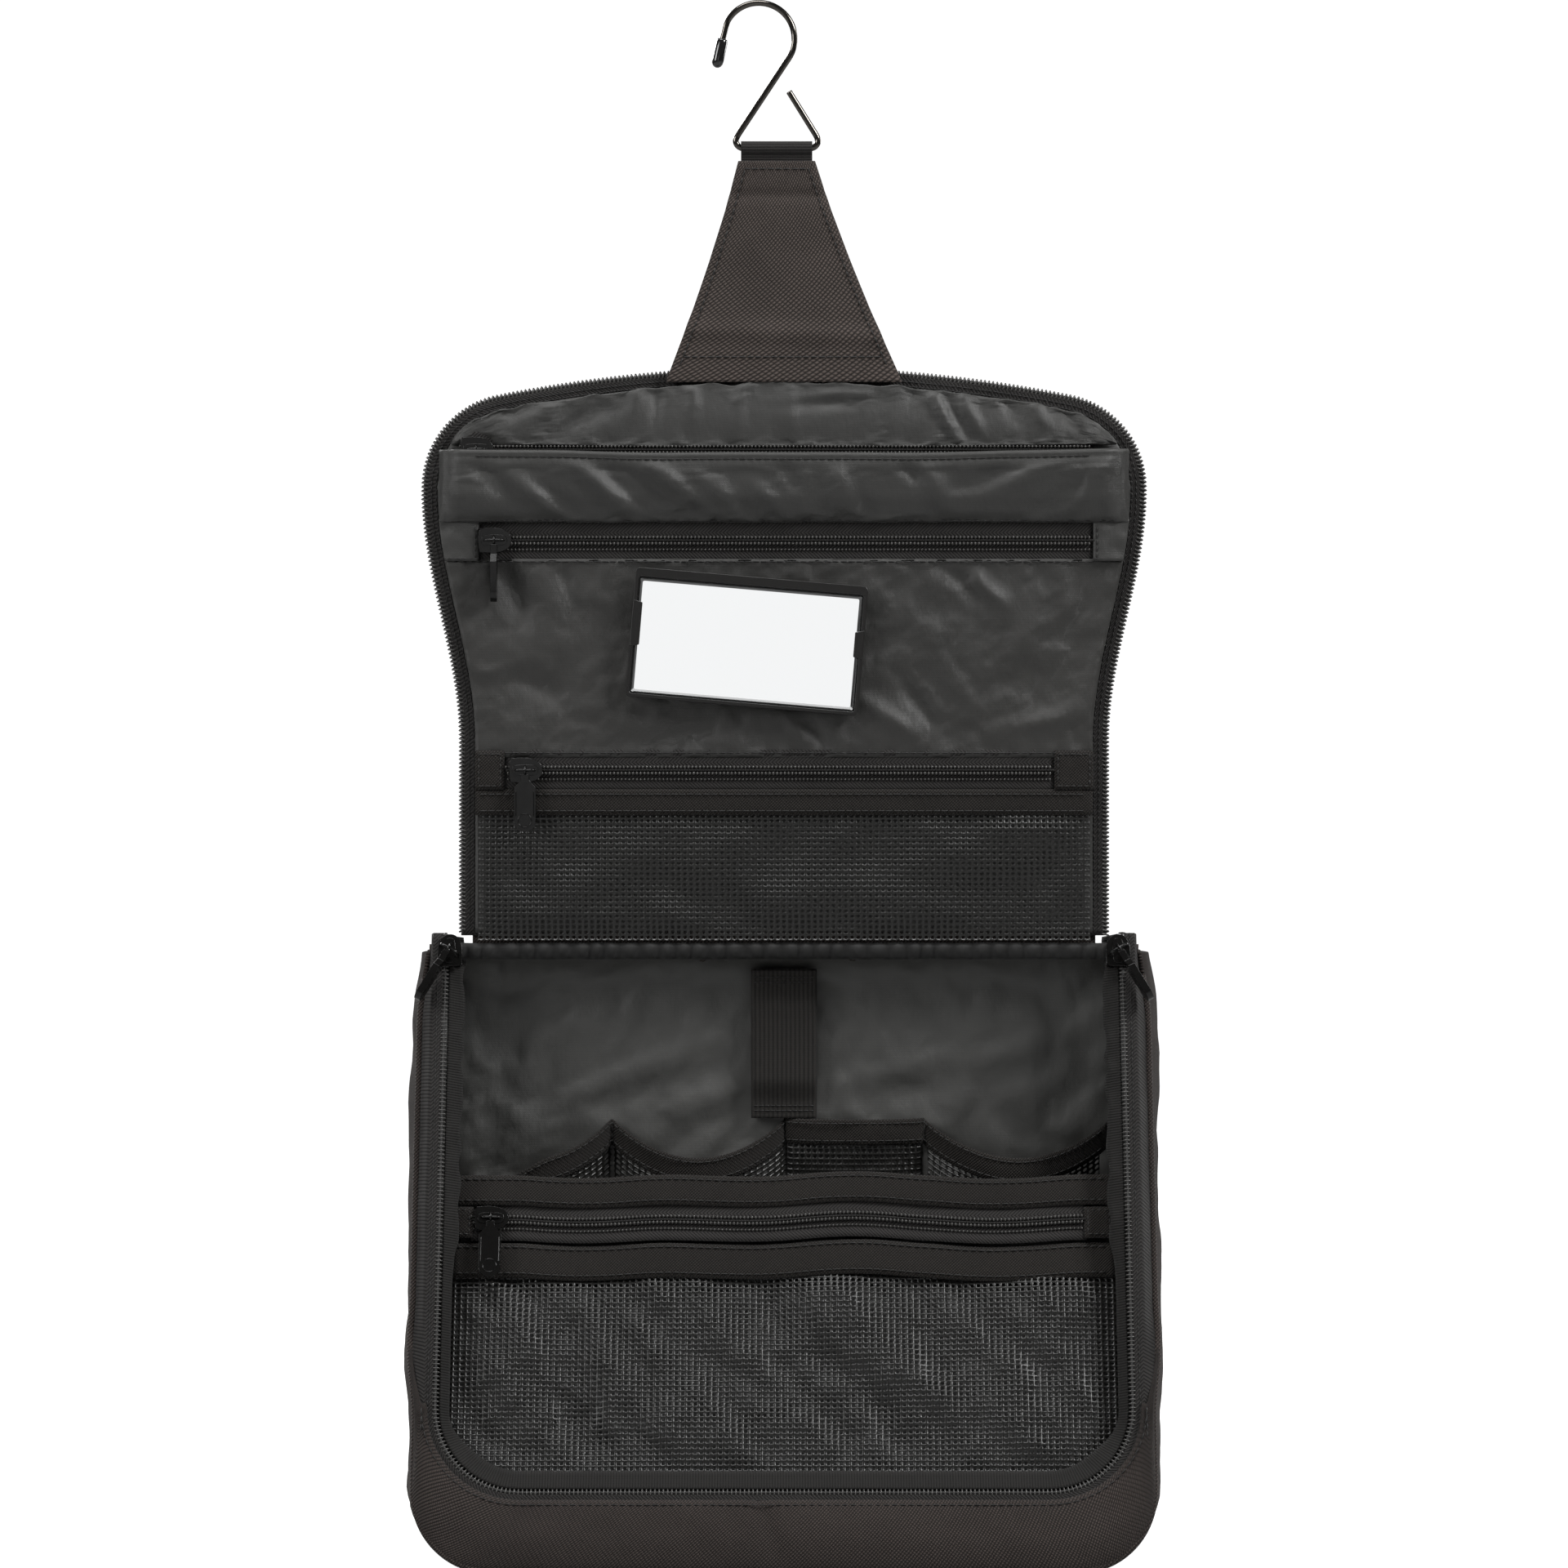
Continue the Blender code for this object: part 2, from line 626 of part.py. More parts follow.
def puller(name, axis, half=PULLER_HALF, edge_on=False):
    """A ring round the slider's bar and a long plate with a round end, hanging down its frame."""
    shoulder = 7 * MM if edge_on else 3.6 * MM
    right = [(PULLER_NECK if not edge_on else 0.9 * MM, -RING_RADIUS), (PULLER_NECK, -shoulder + 1.2 * MM),
             (half, -shoulder - 1 * MM)]
    right += arc(0, -PULLER_LENGTH + half, half, 0, -90, 4)
    plate = slab(name, [both_sides(right)], -PULLER_PLATE / 2, PULLER_PLATE / 2, axis, "black_metal")
    if edge_on:
        plate.rotation_euler = (0, math.pi / 2, 0)
    plate = register(as_mesh(plate), name, axis, "black_metal")
    bpy.ops.mesh.primitive_torus_add(
        major_radius=RING_RADIUS, minor_radius=RING_WIRE, major_segments=12, minor_segments=6)
    ring = bpy.context.active_object
    for collection in list(ring.users_collection):
        collection.objects.unlink(ring)
    ring.name = name + "_ring"
    PARTS.objects.link(ring)
    ring.parent = axis
    ring.rotation_euler = (0, math.pi / 2, 0)
    return combine(plate, ring)


def pocket_zip(name, spec, layer, parent, edge_on=False):
    height, _, _, at = spec
    zip_halves(name, spec, layer, parent)
    top_out = layer + CHAIN_TOP + GAP
    low_out = layer - POCKET_TAPE / 2 - GAP
    bar = layer + BAR_OUT
    slider(name + "_slider", parent, (at, height), top_out, low_out, bar, 0.0)
    axis = pivot(name + "_puller_axis", parent, (at, height, bar))
    puller(name + "_puller", axis, edge_on=edge_on)


def build_main_sliders(rim):
    """One slider each side, parked at the hinge, its puller hanging outwards down the side."""
    for side, sign in (("right", 1), ("left", -1)):
        x = sign * (RIM_HALF - COIL - GAP - WEB_HALF)
        turn = math.pi / 2
        hang = sign * MAIN_HANG
        slider("main_slider_" + side, rim, (x, MAIN_PARK), COIL + GAP, -COIL - GAP, MAIN_BAR_OUT,
               sign * (MAIN_HANG - turn), turn)
        axis = pivot("main_puller_axis_" + side, rim, (x, MAIN_PARK, MAIN_BAR_OUT), hang)
        puller("main_puller_" + side, axis, half=MAIN_PULLER_HALF, edge_on=True)


# ---------------------------------------------------------------- lid


def layer(name, outline, lid, material, low=LID_LAYER - 0.3 * MM, high=LID_LAYER + 0.3 * MM):
    return slab(name, [outline], low, high, lid, material)


def build_lid(lid):
    behind = -LID_OFFSET - TAPE / 2
    slab("lid_shell", [both_sides(lid_half(6 * MM, 3 * MM))], behind - GAP - CLOTH, behind - GAP, lid,
         "outer_cloth")
    tape = both_sides(lid_half(COIL + GAP, LID_TAPE_FOOT))
    tape += reversed(both_sides(lid_half(13 * MM, LID_TAPE_FOOT)))
    slab("lid_zip_tape", [tape], behind, -LID_OFFSET + TAPE / 2, lid, "zip_tape")
    wire("lid_zip_coil", [(x, y, -LID_OFFSET) for x, y in both_sides(lid_half(0.0, LID_TAPE_FOOT))], COIL,
         lid, "zip_coil")
    slab("lid_lining", [both_sides(lid_half(9 * MM, 4 * MM))], -LINING, 0.0, lid, "satin")
    reach = TAPE_HALF_HEIGHT + GAP
    layer("lid_crown_panel", lid_crown(TOP_ZIP[0] + reach, 10 * MM), lid, "satin")
    layer("lid_flap_panel", lid_panel(FLAP_LOW + 1.6 * MM, TOP_ZIP[0] - reach), lid, "satin")
    layer("lid_mirror_panel", lid_panel(NET_ZIP[0] + reach, UPPER_ZIP[0] - reach), lid, "satin")
    band = lid_panel(NET_BAND_LOW, NET_ZIP[0] - reach)
    layer("lid_net_band", band, lid, "webbing", high=LID_LAYER + 0.7 * MM)
    layer("lid_net", lid_panel(NET_LOW, NET_BAND_LOW - GAP), lid, "net")
    build_flap(lid)
    pocket_zip("top", TOP_ZIP, LID_LAYER, lid)
    pocket_zip("upper", UPPER_ZIP, LID_LAYER, lid, edge_on=True)
    pocket_zip("net", NET_ZIP, LID_LAYER, lid)
    height, x_low, x_high, _ = NET_ZIP
    ends = (("left", x_low - 10.6 * MM, x_low - GAP), ("right", x_high + GAP, x_high + 11 * MM))
    for side, low, high in ends:
        slab("net_zip_tab_" + side, [box(low, high, height - 6.8 * MM, height + 6.8 * MM)],
             LID_LAYER - 0.3 * MM, LID_LAYER + 0.9 * MM, lid, "satin")


def build_flap(lid):
    """The folded flap over the top zip: sewn along its foot, open above."""
    low = LID_LAYER - 0.3 * MM
    front = [(FLAP_LOW, low), (FLAP_LOW, low + 0.6 * MM), (FLAP_LOW + 1.0 * MM, FLAP_OUT - 0.2 * MM),
             (FLAP_LOW + 1.8 * MM, FLAP_OUT + LINING), (FLAP_TOP, FLAP_OUT + LINING)]
    rear = [(FLAP_TOP, FLAP_OUT), (FLAP_LOW + 2.0 * MM, FLAP_OUT), (FLAP_LOW + 1.3 * MM, low)]
    beam("lid_flap", [front + rear], -LID_FRONT_HALF, LID_FRONT_HALF, lid, "satin")


def build_mirror(lid):
    front = LID_LAYER + 0.3 * MM + GAP
    patch = placed(rounded(*PATCH_SIZE, 2 * MM), MIRROR_CENTRE, MIRROR_TURN)
    slab("mirror_patch_sewn", [patch], front, front + 0.8 * MM, lid, "webbing")
    own = pivot("mirror_frame_place", lid, (*MIRROR_CENTRE, front + 0.8 * MM + GAP), MIRROR_TURN)
    slab("mirror_patch_glued", [rounded(*PATCH_SIZE, 2 * MM)], 0.0, 0.8 * MM, own, "webbing")
    rear = 0.8 * MM + GAP
    width, height = MIRROR_SIZE
    tray = slab("mirror_frame", [rounded(width, height, 2 * MM)], rear, rear + 3.2 * MM, own, "frame_plastic")
    tray = register(as_mesh(tray), "mirror_frame", own, "frame_plastic")
    pocket = slab("mirror_frame_pocket", [rounded(width - 4 * MM, height - 5 * MM, 1 * MM)],
                  rear + 0.8 * MM, rear + 5 * MM, own, "frame_plastic")
    combine(tray, as_mesh(pocket), "DIFFERENCE")
    slab("mirror_plate", [rounded(width - 4.6 * MM, height - 5.6 * MM, 1 * MM)], rear + 1.1 * MM,
         rear + 2.6 * MM, own, "mirror_glass")


def build_tab_and_hook(lid):
    outline = [(-TAB_HALF_LOW, TAB_LOW), (TAB_HALF_LOW, TAB_LOW), (TAB_LEAN + TAB_HALF_TOP, TAB_TOP),
               (TAB_LEAN - TAB_HALF_TOP, TAB_TOP)]
    tab = slab("hanging_tab", [outline], TAB_OUT - CLOTH / 2, TAB_OUT + CLOTH / 2, lid, "outer_cloth")
    low = TAB_TOP + GAP
    hole = HOOK_WIRE + GAP
    outer = arc(HOOK_BAR, TAB_OUT, hole + 0.9 * MM, -90, 90, 6)
    outer += [(low, TAB_OUT + 1.2 * MM), (low, TAB_OUT - 1.2 * MM)]
    inner = arc(HOOK_BAR, TAB_OUT, hole, 0, 330, 11)
    loop = beam("webbing_loop", [outer, inner], TAB_LEAN - 12.1 * MM, TAB_LEAN + 12.1 * MM, lid, "webbing")
    hang(pivot("tab_fold_axis", lid, (0.0, TAB_FOLD, TAB_OUT)), tab, loop)
    cx, cy = HOOK_CENTRE
    bend = 2.6 * MM
    left, right = TAB_LEAN - 16.2 * MM + bend, TAB_LEAN + 16.2 * MM - bend
    low_left = arc(left, HOOK_BAR + bend, bend, 150, 270, 5)
    low_right = arc(right, HOOK_BAR + bend, bend, 270, 387, 5)
    top = arc(cx, cy, HOOK_RADIUS, 153, -37.5, 14)
    dx, dy = HOOK_TIP[0] - top[0][0], HOOK_TIP[1] - top[0][1]
    length = math.hypot(dx, dy)
    ux, uy = dx / length, dy / length
    cap = (HOOK_TIP[0] - ux * HOOK_TIP_LENGTH, HOOK_TIP[1] - uy * HOOK_TIP_LENGTH)
    start = (cap[0] - ux * GAP, cap[1] - uy * GAP)
    path = [start] + top + low_left + low_right + [(1.7 * MM, 289.7 * MM)]
    hook = wire("hook_wire", [(x, y, TAB_OUT) for x, y in path], HOOK_WIRE, lid, "hook_metal")
    tip = [(0.0, 0.0), (HOOK_TIP_RADIUS, 0.0), (HOOK_TIP_RADIUS, HOOK_TIP_LENGTH - 1.6 * MM),
           (HOOK_TIP_RADIUS * 0.75, HOOK_TIP_LENGTH - 0.4 * MM), (0.0, HOOK_TIP_LENGTH)]
    cover = lathe("hook_tip", tip, lid, (*cap, TAB_OUT), (ux, uy), "soft_plastic")
    hang(pivot("hook_swing_axis", lid, (TAB_LEAN, HOOK_BAR, TAB_OUT)), hook, cover)


def lathe(name, profile, parent, at, along, material):
    """A round piece from a profile of (radius, length), its length along a direction in the frame's plane."""
    mesh = bpy.data.meshes.new(name)
    mesh.from_pydata([(r, 0.0, length) for r, length in reversed(profile)],
                     [(i, i + 1) for i in range(len(profile) - 1)], [])
    obj = bpy.data.objects.new(name, mesh)
    turn = obj.modifiers.new("turn", "SCREW")
    turn.axis = "Z"
    turn.angle = math.tau
    turn.steps = 14
    turn.render_steps = 14
    turn.use_merge_vertices = True
    turn.merge_threshold = 0.00001
    obj.location = at
    obj.rotation_euler = (-math.pi / 2, 0, math.atan2(along[1], along[0]) - math.pi / 2)
    return register(obj, name, parent, material)


# ---------------------------------------------------------------- front wall


def build_wall(wall):
    height = WALL_ZIP[0]
    outline = wall_outline(3 * MM, WALL_TOP - 1 * MM, corner=WALL_CORNER)
    slab("wall_lining", [outline], -1.4 * MM, -0.6 * MM, wall, "satin")
    slab("wall_net", [wall_outline(3 * MM, 83 * MM, corner=WALL_CORNER)], 0.0, 0.6 * MM, wall, "net")
    slab("wall_band", [wall_outline(71 * MM, 82.5 * MM)], 0.9 * MM, 1.9 * MM, wall, "webbing")
    header = [wall_outline(height + 4.9 * MM, WALL_TOP)]
    slab("wall_header", header, WALL_LAYER + 0.6 * MM, WALL_LAYER + 1.6 * MM, wall, "webbing")
    pocket_zip("wall", WALL_ZIP, WALL_LAYER, wall)
    _, x_low, x_high, _ = WALL_ZIP
    for side, low, high in (("left", -WALL_HALF, x_low - GAP), ("right", x_high + GAP, WALL_HALF)):
        slab("wall_zip_tab_" + side, [box(low, high, height - 6.5 * MM, height + 4.6 * MM)],
             WALL_LAYER - 0.3 * MM, WALL_LAYER + 0.9 * MM, wall, "satin")


def build():
    lid = frame("lid_frame", HINGE_Y, HEIGHT, 0.0)
    rim = frame("rim_frame", HINGE_Y, HEIGHT, RAKE)
    foot = rim_point(0.0, WALL_FOOT, -WALL_SET_BACK)
    wall = frame("wall_frame", foot[1], foot[2], RAKE + WALL_TILT)
    lining_face = frame("back_frame", BACK_Y - CLOTH - GAP - LINING - GAP, 0.0, 0.0)
    build_back()
    build_gusset()
    build_rim(rim)
    build_holder()
    build_strap(lining_face)
    ring = arc(0.0, 0.0, 1.7 * MM, 0, 315, 7)
    beam("hinge_binding", [ring], -103 * MM, 103 * MM, frame("hinge_frame", HINGE_Y, HEIGHT, 0.0), "webbing")
    build_wall(wall)
    build_main_sliders(rim)
    build_lid(lid)
    build_mirror(lid)
    build_tab_and_hook(lid)


build()
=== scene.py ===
"""The hanging toiletry bag's looks: sewn cloth, nets, zips, mirror and hook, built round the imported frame.

Everything is placed in one of three flat frames.  The lid frame stands at the hinge line, the rim frame leans
forward from it along the main zip, and the wall frame is the net wall inside the front.  Each gives a point
from across, up and out of its plane.
"""

import json
import math

import bmesh
import bpy
import numpy as np
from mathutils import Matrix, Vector, noise


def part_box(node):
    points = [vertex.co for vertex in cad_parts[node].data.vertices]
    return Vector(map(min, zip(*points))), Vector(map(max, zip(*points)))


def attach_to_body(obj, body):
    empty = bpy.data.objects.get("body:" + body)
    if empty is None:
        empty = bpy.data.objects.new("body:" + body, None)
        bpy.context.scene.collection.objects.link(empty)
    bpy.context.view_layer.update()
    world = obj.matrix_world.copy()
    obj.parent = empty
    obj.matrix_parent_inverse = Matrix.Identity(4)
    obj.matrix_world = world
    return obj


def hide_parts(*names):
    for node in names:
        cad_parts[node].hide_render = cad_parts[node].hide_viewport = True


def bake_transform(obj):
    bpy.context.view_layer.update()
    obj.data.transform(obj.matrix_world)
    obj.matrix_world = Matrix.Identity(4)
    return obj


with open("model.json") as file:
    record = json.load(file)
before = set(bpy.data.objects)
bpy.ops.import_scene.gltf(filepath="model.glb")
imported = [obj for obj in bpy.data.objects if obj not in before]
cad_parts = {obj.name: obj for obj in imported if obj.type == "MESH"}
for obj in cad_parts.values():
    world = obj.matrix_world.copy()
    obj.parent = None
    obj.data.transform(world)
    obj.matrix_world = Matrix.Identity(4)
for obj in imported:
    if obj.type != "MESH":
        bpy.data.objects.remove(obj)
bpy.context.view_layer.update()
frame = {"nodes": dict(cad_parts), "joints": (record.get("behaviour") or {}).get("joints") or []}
JOINTS = {j["name"]: j for j in frame["joints"]}

MM = 0.001

# Places read from the frame
HINGE = JOINTS["lid_hinge"]["pos_m"]
HINGE_Y, HEIGHT = HINGE[1], HINGE[2]
RIM_UP = JOINTS["main_zip_slide_right"]["axis"]
RAKE = math.atan2(RIM_UP[1], RIM_UP[2])
BACK_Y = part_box("side_gusset_right")[1][1]

# Body
TOP_RADIUS = 19 * MM
CORNER_RADIUS = 26 * MM
BODY_HALF = 126 * MM
BODY_HALF_TOP = 121.5 * MM
NARROWING = 28 * MM
CLOTH = 1.6 * MM
LINING = 0.7 * MM
RIM_HALF = 115 * MM
RIM_REACH = 188 * MM
RIM_CORNER = 28 * MM
TAPE_FLAT = 4 * MM
TAPE_TURN = math.radians(60)

# Wall
WALL_FOOT = -184 * MM
WALL_SET_BACK = 8 * MM
WALL_LEAN = RAKE + math.radians(3.9)
WALL_HALF = 112 * MM
WALL_LAYER = 2.4 * MM

# Lid, heights above the hinge
LID_LENGTH = 197.5 * MM
LID_WAIST = 111.5 * MM
LID_SHOULDER = 124.3 * MM
SHOULDER_LOW = 70 * MM
SHOULDER_HIGH = 154 * MM
LID_ARCH_RADIUS = 500 * MM
LID_CORNER_RADIUS = 33 * MM
LID_LAYER = 1.6 * MM
LID_TAPE_OUT = -1.5 * MM
INNER_INSET = 6.6 * MM  # from the lid's coil to its pockets

# Zips: height of the chain, its two ends, and where the slider sits
TOP_ZIP = (168.0 * MM, -110 * MM, 105 * MM)
UPPER_ZIP = (137.2 * MM, -103.5 * MM, 105 * MM)
NET_ZIP = (59.2 * MM, -94.4 * MM, 91.7 * MM)
WALL_ZIP = (90.5 * MM, -105 * MM, 101.5 * MM)
COIL_PITCH = 1.4 * MM
FILAMENT = 0.33 * MM

# Mirror
MIRROR_X, MIRROR_H, MIRROR_TURN = -12.6 * MM, 102.8 * MM, -4.9

# Hanging tab
TAB_LAYER = 1.2 * MM

# Camera: square to the open lid
LENS = 114.8
CAMERA_AWAY = 1.7
CAMERA_X, CAMERA_Z = 0.0, 0.2575
WORLD_LEVEL = 0.10

# Bottle holder
HOLDER_SEAMS = (-112 * MM, -59 * MM, 0.5 * MM, 48 * MM, 112 * MM)
HOLDER_TOP = 137 * MM
HOLDER_LOW = 62 * MM


# ---------------------------------------------------------------- frames


def lid_point(x, h, out):
    return np.array([x, HINGE_Y - out, HEIGHT + h])


def leaning(origin, lean):
    """A function from (across, up, out) to the world for a plane that leans back by an angle."""
    s, c = math.sin(lean), math.cos(lean)

    def point(x, up, out):
        return np.array([x, origin[0] + up * s - out * c, origin[1] + up * c + out * s])

    return point


rim_point = leaning((HINGE_Y, HEIGHT), RAKE)
_foot = rim_point(0.0, WALL_FOOT, -WALL_SET_BACK)
wall_point = leaning((_foot[1], _foot[2]), WALL_LEAN)


# ---------------------------------------------------------------- small helpers


def smoothstep(t):
    t = max(0.0, min(1.0, t))
    return t * t * (3 - 2 * t)


def spread(low, high, count):
    return [low + (high - low) * i / (count - 1) for i in range(count)]


def arc(cx, cy, radius, start, end, steps):
    angles = [math.radians(a) for a in spread(start, end, steps + 1)]
    return [(cx + radius * math.cos(a), cy + radius * math.sin(a)) for a in angles]


def mirrored(points):
    return [(-x, y) for x, y in reversed(points)]


def both_sides(right):
    return right + mirrored(right)[1:]


def distances(points):
    """How far along a polyline each of its points is."""
    return np.concatenate([[0], np.cumsum(np.linalg.norm(np.diff(points, axis=0), axis=1))])


def interpolated(at, dist, values):
    return np.stack([np.interp(at, dist, values[:, k]) for k in range(values.shape[1])], axis=1)


def directions(points):
    """The unit tangent at each point of a polyline."""
    tangents = np.gradient(points, axis=0)
    return tangents / np.linalg.norm(tangents, axis=1)[:, None]


def outward_from(points):
    """The flat unit directions that point away from the middle all along a right-to-left outline."""
    tangents = directions(points)
    outward = np.stack([-tangents[:, 1], tangents[:, 0]], axis=1)
    return -outward if outward[0][0] < 0 else outward


def resample(points, count=None, step=None):
    """Evenly spaced points along a polyline of any dimension."""
    pts = np.array(points, dtype=float)
    dist = distances(pts)
    if count is None:
        count = max(2, int(round(dist[-1] / step)) + 1)
    return interpolated(np.linspace(0, dist[-1], count), dist, pts)


def smooth_path(points, passes=2):
    """Rounds a polyline's corners, keeping its ends."""
    pts = np.array(points, dtype=float)
    for _ in range(passes):
        pts[1:-1] = (pts[:-2] + 2 * pts[1:-1] + pts[2:]) / 4
    return pts


def ripple(x, y, scale, seed=0.0, octaves=2):
    """Smooth noise between about -1 and 1 at a length scale."""
    value, size, weight = 0.0, scale, 1.0
    for octave in range(octaves):
        value += weight * noise.noise(Vector((x / size + seed, y / size - seed, seed * 1.7 + octave * 5.3)))
        size, weight = size / 2, weight / 2
    return value


def folded(table, x, y):
    """Height of a set of soft folds, each (x, y, turn in degrees, half length, half width, height) in mm."""
    total = 0.0
    for cx, cy, turn, long, wide, height in table:
        c, s = math.cos(math.radians(turn)), math.sin(math.radians(turn))
        dx, dy = x / MM - cx, y / MM - cy
        along, over = (dx * c + dy * s) / long, (dy * c - dx * s) / wide
        total += height * math.exp(-(along**2) - over**2)
    return total * MM


# ---------------------------------------------------------------- meshes


def add_object(name, mesh):
    obj = bpy.data.objects.new(name, mesh)
    bpy.context.scene.collection.objects.link(obj)
    return obj


def mesh_from(name, verts, faces, uvs=None, smooth=True):
    """A mesh object; uvs gives one pair per vertex, in metres of cloth."""
    mesh = bpy.data.meshes.new(name)
    mesh.from_pydata([tuple(v) for v in verts], [], [tuple(int(i) for i in f) for f in faces])
    if uvs is not None:
        layer = mesh.uv_layers.new(name="UVMap")
        flat_uv = np.asarray(uvs, dtype=float)
        index = np.zeros(len(mesh.loops), dtype=np.int32)
        mesh.loops.foreach_get("vertex_index", index)
        layer.data.foreach_set("uv", flat_uv[index].ravel())
    if smooth:
        mesh.polygons.foreach_set("use_smooth", [True] * len(mesh.polygons))
    mesh.update()
    return add_object(name, mesh)


def attach(obj, body, *nodes):
    """Moves a piece with a body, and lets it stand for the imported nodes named."""
    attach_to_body(obj, body)
    if nodes:
        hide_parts(*nodes)


def surface(name, grid, material, thickness=0.0, flip=False):
    """A cloth through a grid of points, with UVs that measure it in metres."""
    grid = np.asarray(grid, dtype=float)
    rows, cols, _ = grid.shape
    verts = grid.reshape(-1, 3)
    across = distances(grid[rows // 2])
    along = distances(grid[:, cols // 2])
    uvs = np.stack(np.meshgrid(across, along), axis=-1).reshape(-1, 2)
    faces = []
    for r in range(rows - 1):
        for a in range(r * cols, r * cols + cols - 1):
            quad = (a, a + 1, a + cols + 1, a + cols)
            faces.append(quad[::-1] if flip else quad)
    obj = mesh_from(name, verts, faces, uvs)
    obj.data.materials.append(material)
    if thickness:
        solid = obj.modifiers.new("thickness", "SOLIDIFY")
        solid.thickness = thickness
        solid.offset = 0.0
    return obj


def sides_along(points):
    """Two steady side directions along a path."""
    tangents = directions(points)
    start = np.array([0.0, 0.0, 1.0]) if abs(tangents[0][2]) < 0.9 else np.array([1.0, 0.0, 0.0])
    side = np.cross(tangents[0], start)
    side /= np.linalg.norm(side)
    sides = [side]
    for t in tangents[1:]:
        side = side - t * np.dot(side, t)
        side /= np.linalg.norm(side)
        sides.append(side)
    sides = np.array(sides)
    return sides, np.cross(tangents, sides)


def tube_data(points, radius, sides=8, squash=1.0, caps=True):
    """Vertices and faces of a round rod along a path; radius may vary along it."""
    pts = np.asarray(points, dtype=float)
    radii = np.broadcast_to(np.asarray(radius, dtype=float), (len(pts),))
    u, v = sides_along(pts)
    angles = np.linspace(0, math.tau, sides, endpoint=False)
    c, s = np.cos(angles)[None, :, None], np.sin(angles)[None, :, None]
    ring = c * u[:, None, :] + squash * s * v[:, None, :]
    verts = (pts[:, None, :] + ring * radii[:, None, None]).reshape(-1, 3)
    n = len(pts)
    i = np.arange(n - 1)[:, None] * sides
    j = np.arange(sides)[None, :]
    k = (j + 1) % sides
    faces = np.stack([i + j, i + k, i + sides + k, i + sides + j], axis=-1).reshape(-1, 4).tolist()
    if caps:
        verts = np.vstack([verts, pts[:1], pts[-1:]])
        first, last = n * sides, n * sides + 1
        base = (n - 1) * sides
        faces += [(first, (a + 1) % sides, a) for a in range(sides)]
        faces += [(last, base + a, base + (a + 1) % sides) for a in range(sides)]
    return verts, faces


def merge(parts):
    """Several (verts, faces) as one."""
    verts, faces, start = [], [], 0
    for v, f in parts:
        verts.append(np.asarray(v, dtype=float))
        faces += [tuple(int(i) + start for i in face) for face in f]
        start += len(v)
    return np.vstack(verts), faces


def solid_object(name, parts, material):
    verts, faces = merge(parts)
    obj = mesh_from(name, verts, faces, verts[:, [0, 2]])
    obj.data.materials.append(material)
    return obj


def tube(name, points, radius, material, sides):
    return solid_object(name, [tube_data(points, radius, sides)], material)


def helix(path, side, normal, half_width, half_height):
    """A coil filament wound along a path of points with side and normal directions."""
    points_per_turn = 8
    dist = distances(path)
    turns = int(dist[-1] / COIL_PITCH)
    at = np.linspace(0, turns * COIL_PITCH, turns * points_per_turn + 1)
    angle = at / COIL_PITCH * math.tau
    across = interpolated(at, dist, side) * (half_width * np.cos(angle))[:, None]
    out = normal[None, :] * (half_height * np.sin(angle))[:, None]
    return tube_data(interpolated(at, dist, path) + across + out, FILAMENT, 5)


def beads(path, tangent, side, normal, size):
    """A row of small rounded teeth, one at each point; size is half length, half width and half height."""
    ring = [(math.cos(a), math.sin(a)) for a in np.linspace(0, math.tau, 7)[:-1]]
    shape = [(0.0, 0.0, 1.0)] + [(0.8 * c, 0.8 * s, 0.6) for c, s in ring] + [(c, s, -0.3) for c, s in ring]
    faces = [(0, 1 + k, 1 + (k + 1) % 6) for k in range(6)]
    faces += [(1 + k, 7 + k, 7 + (k + 1) % 6, 1 + (k + 1) % 6) for k in range(6)]
    shape = np.array(shape) * size
    parts = []
    for k, p in enumerate(path):
        frame_here = np.array([tangent[k], side[k], normal])
        parts.append((shape @ frame_here + p, faces))
    return parts


def stitch_parts(path, normal, pitch=2.7 * MM, length=2.0 * MM, radius=0.24 * MM):
    """A row of thread stitches on a surface: each one rises, runs and dives."""
    lift = 0.12 * MM
    pts = np.asarray(path, dtype=float)
    dist = distances(pts)
    normals = np.broadcast_to(np.asarray(normal, dtype=float), pts.shape)
    rise = np.array([-radius, lift, lift * 1.3, lift, -radius])
    parts = []
    for k in range(int((dist[-1] - length) / pitch) + 1):
        at = np.linspace(k * pitch, k * pitch + length, len(rise))
        centre = interpolated(at, dist, pts)
        up = interpolated(at, dist, normals)
        parts.append(tube_data(centre + up * rise[:, None], radius, 5, caps=False))
    return parts


def stitches(name, paths, normal, body, **options):
    parts = []
    for path in paths:
        parts += stitch_parts(path, normal, **options)
    obj = solid_object(name, parts, MAT["thread"])
    if body:
        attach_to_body(obj, body)
    return obj


def prism(outline, low, high):
    """A flat outline in 2D as (verts, faces) between two heights along the third axis."""
    n = len(outline)
    verts = [(x, y, low) for x, y in outline] + [(x, y, high) for x, y in outline]
    faces = [tuple(range(n - 1, -1, -1)), tuple(range(n, 2 * n))]
    faces += [(i, (i + 1) % n, n + (i + 1) % n, n + i) for i in range(n)]
    return verts, faces


def bevelled(name, parts, material, width, segments):
    obj = solid_object(name, parts, material)
    bevel = obj.modifiers.new("edges", "BEVEL")
    bevel.width = width
    bevel.segments = segments
    bevel.limit_method = "ANGLE"
    bevel.angle_limit = math.radians(35)
    bevel.harden_normals = True
    return obj


# ---------------------------------------------------------------- materials


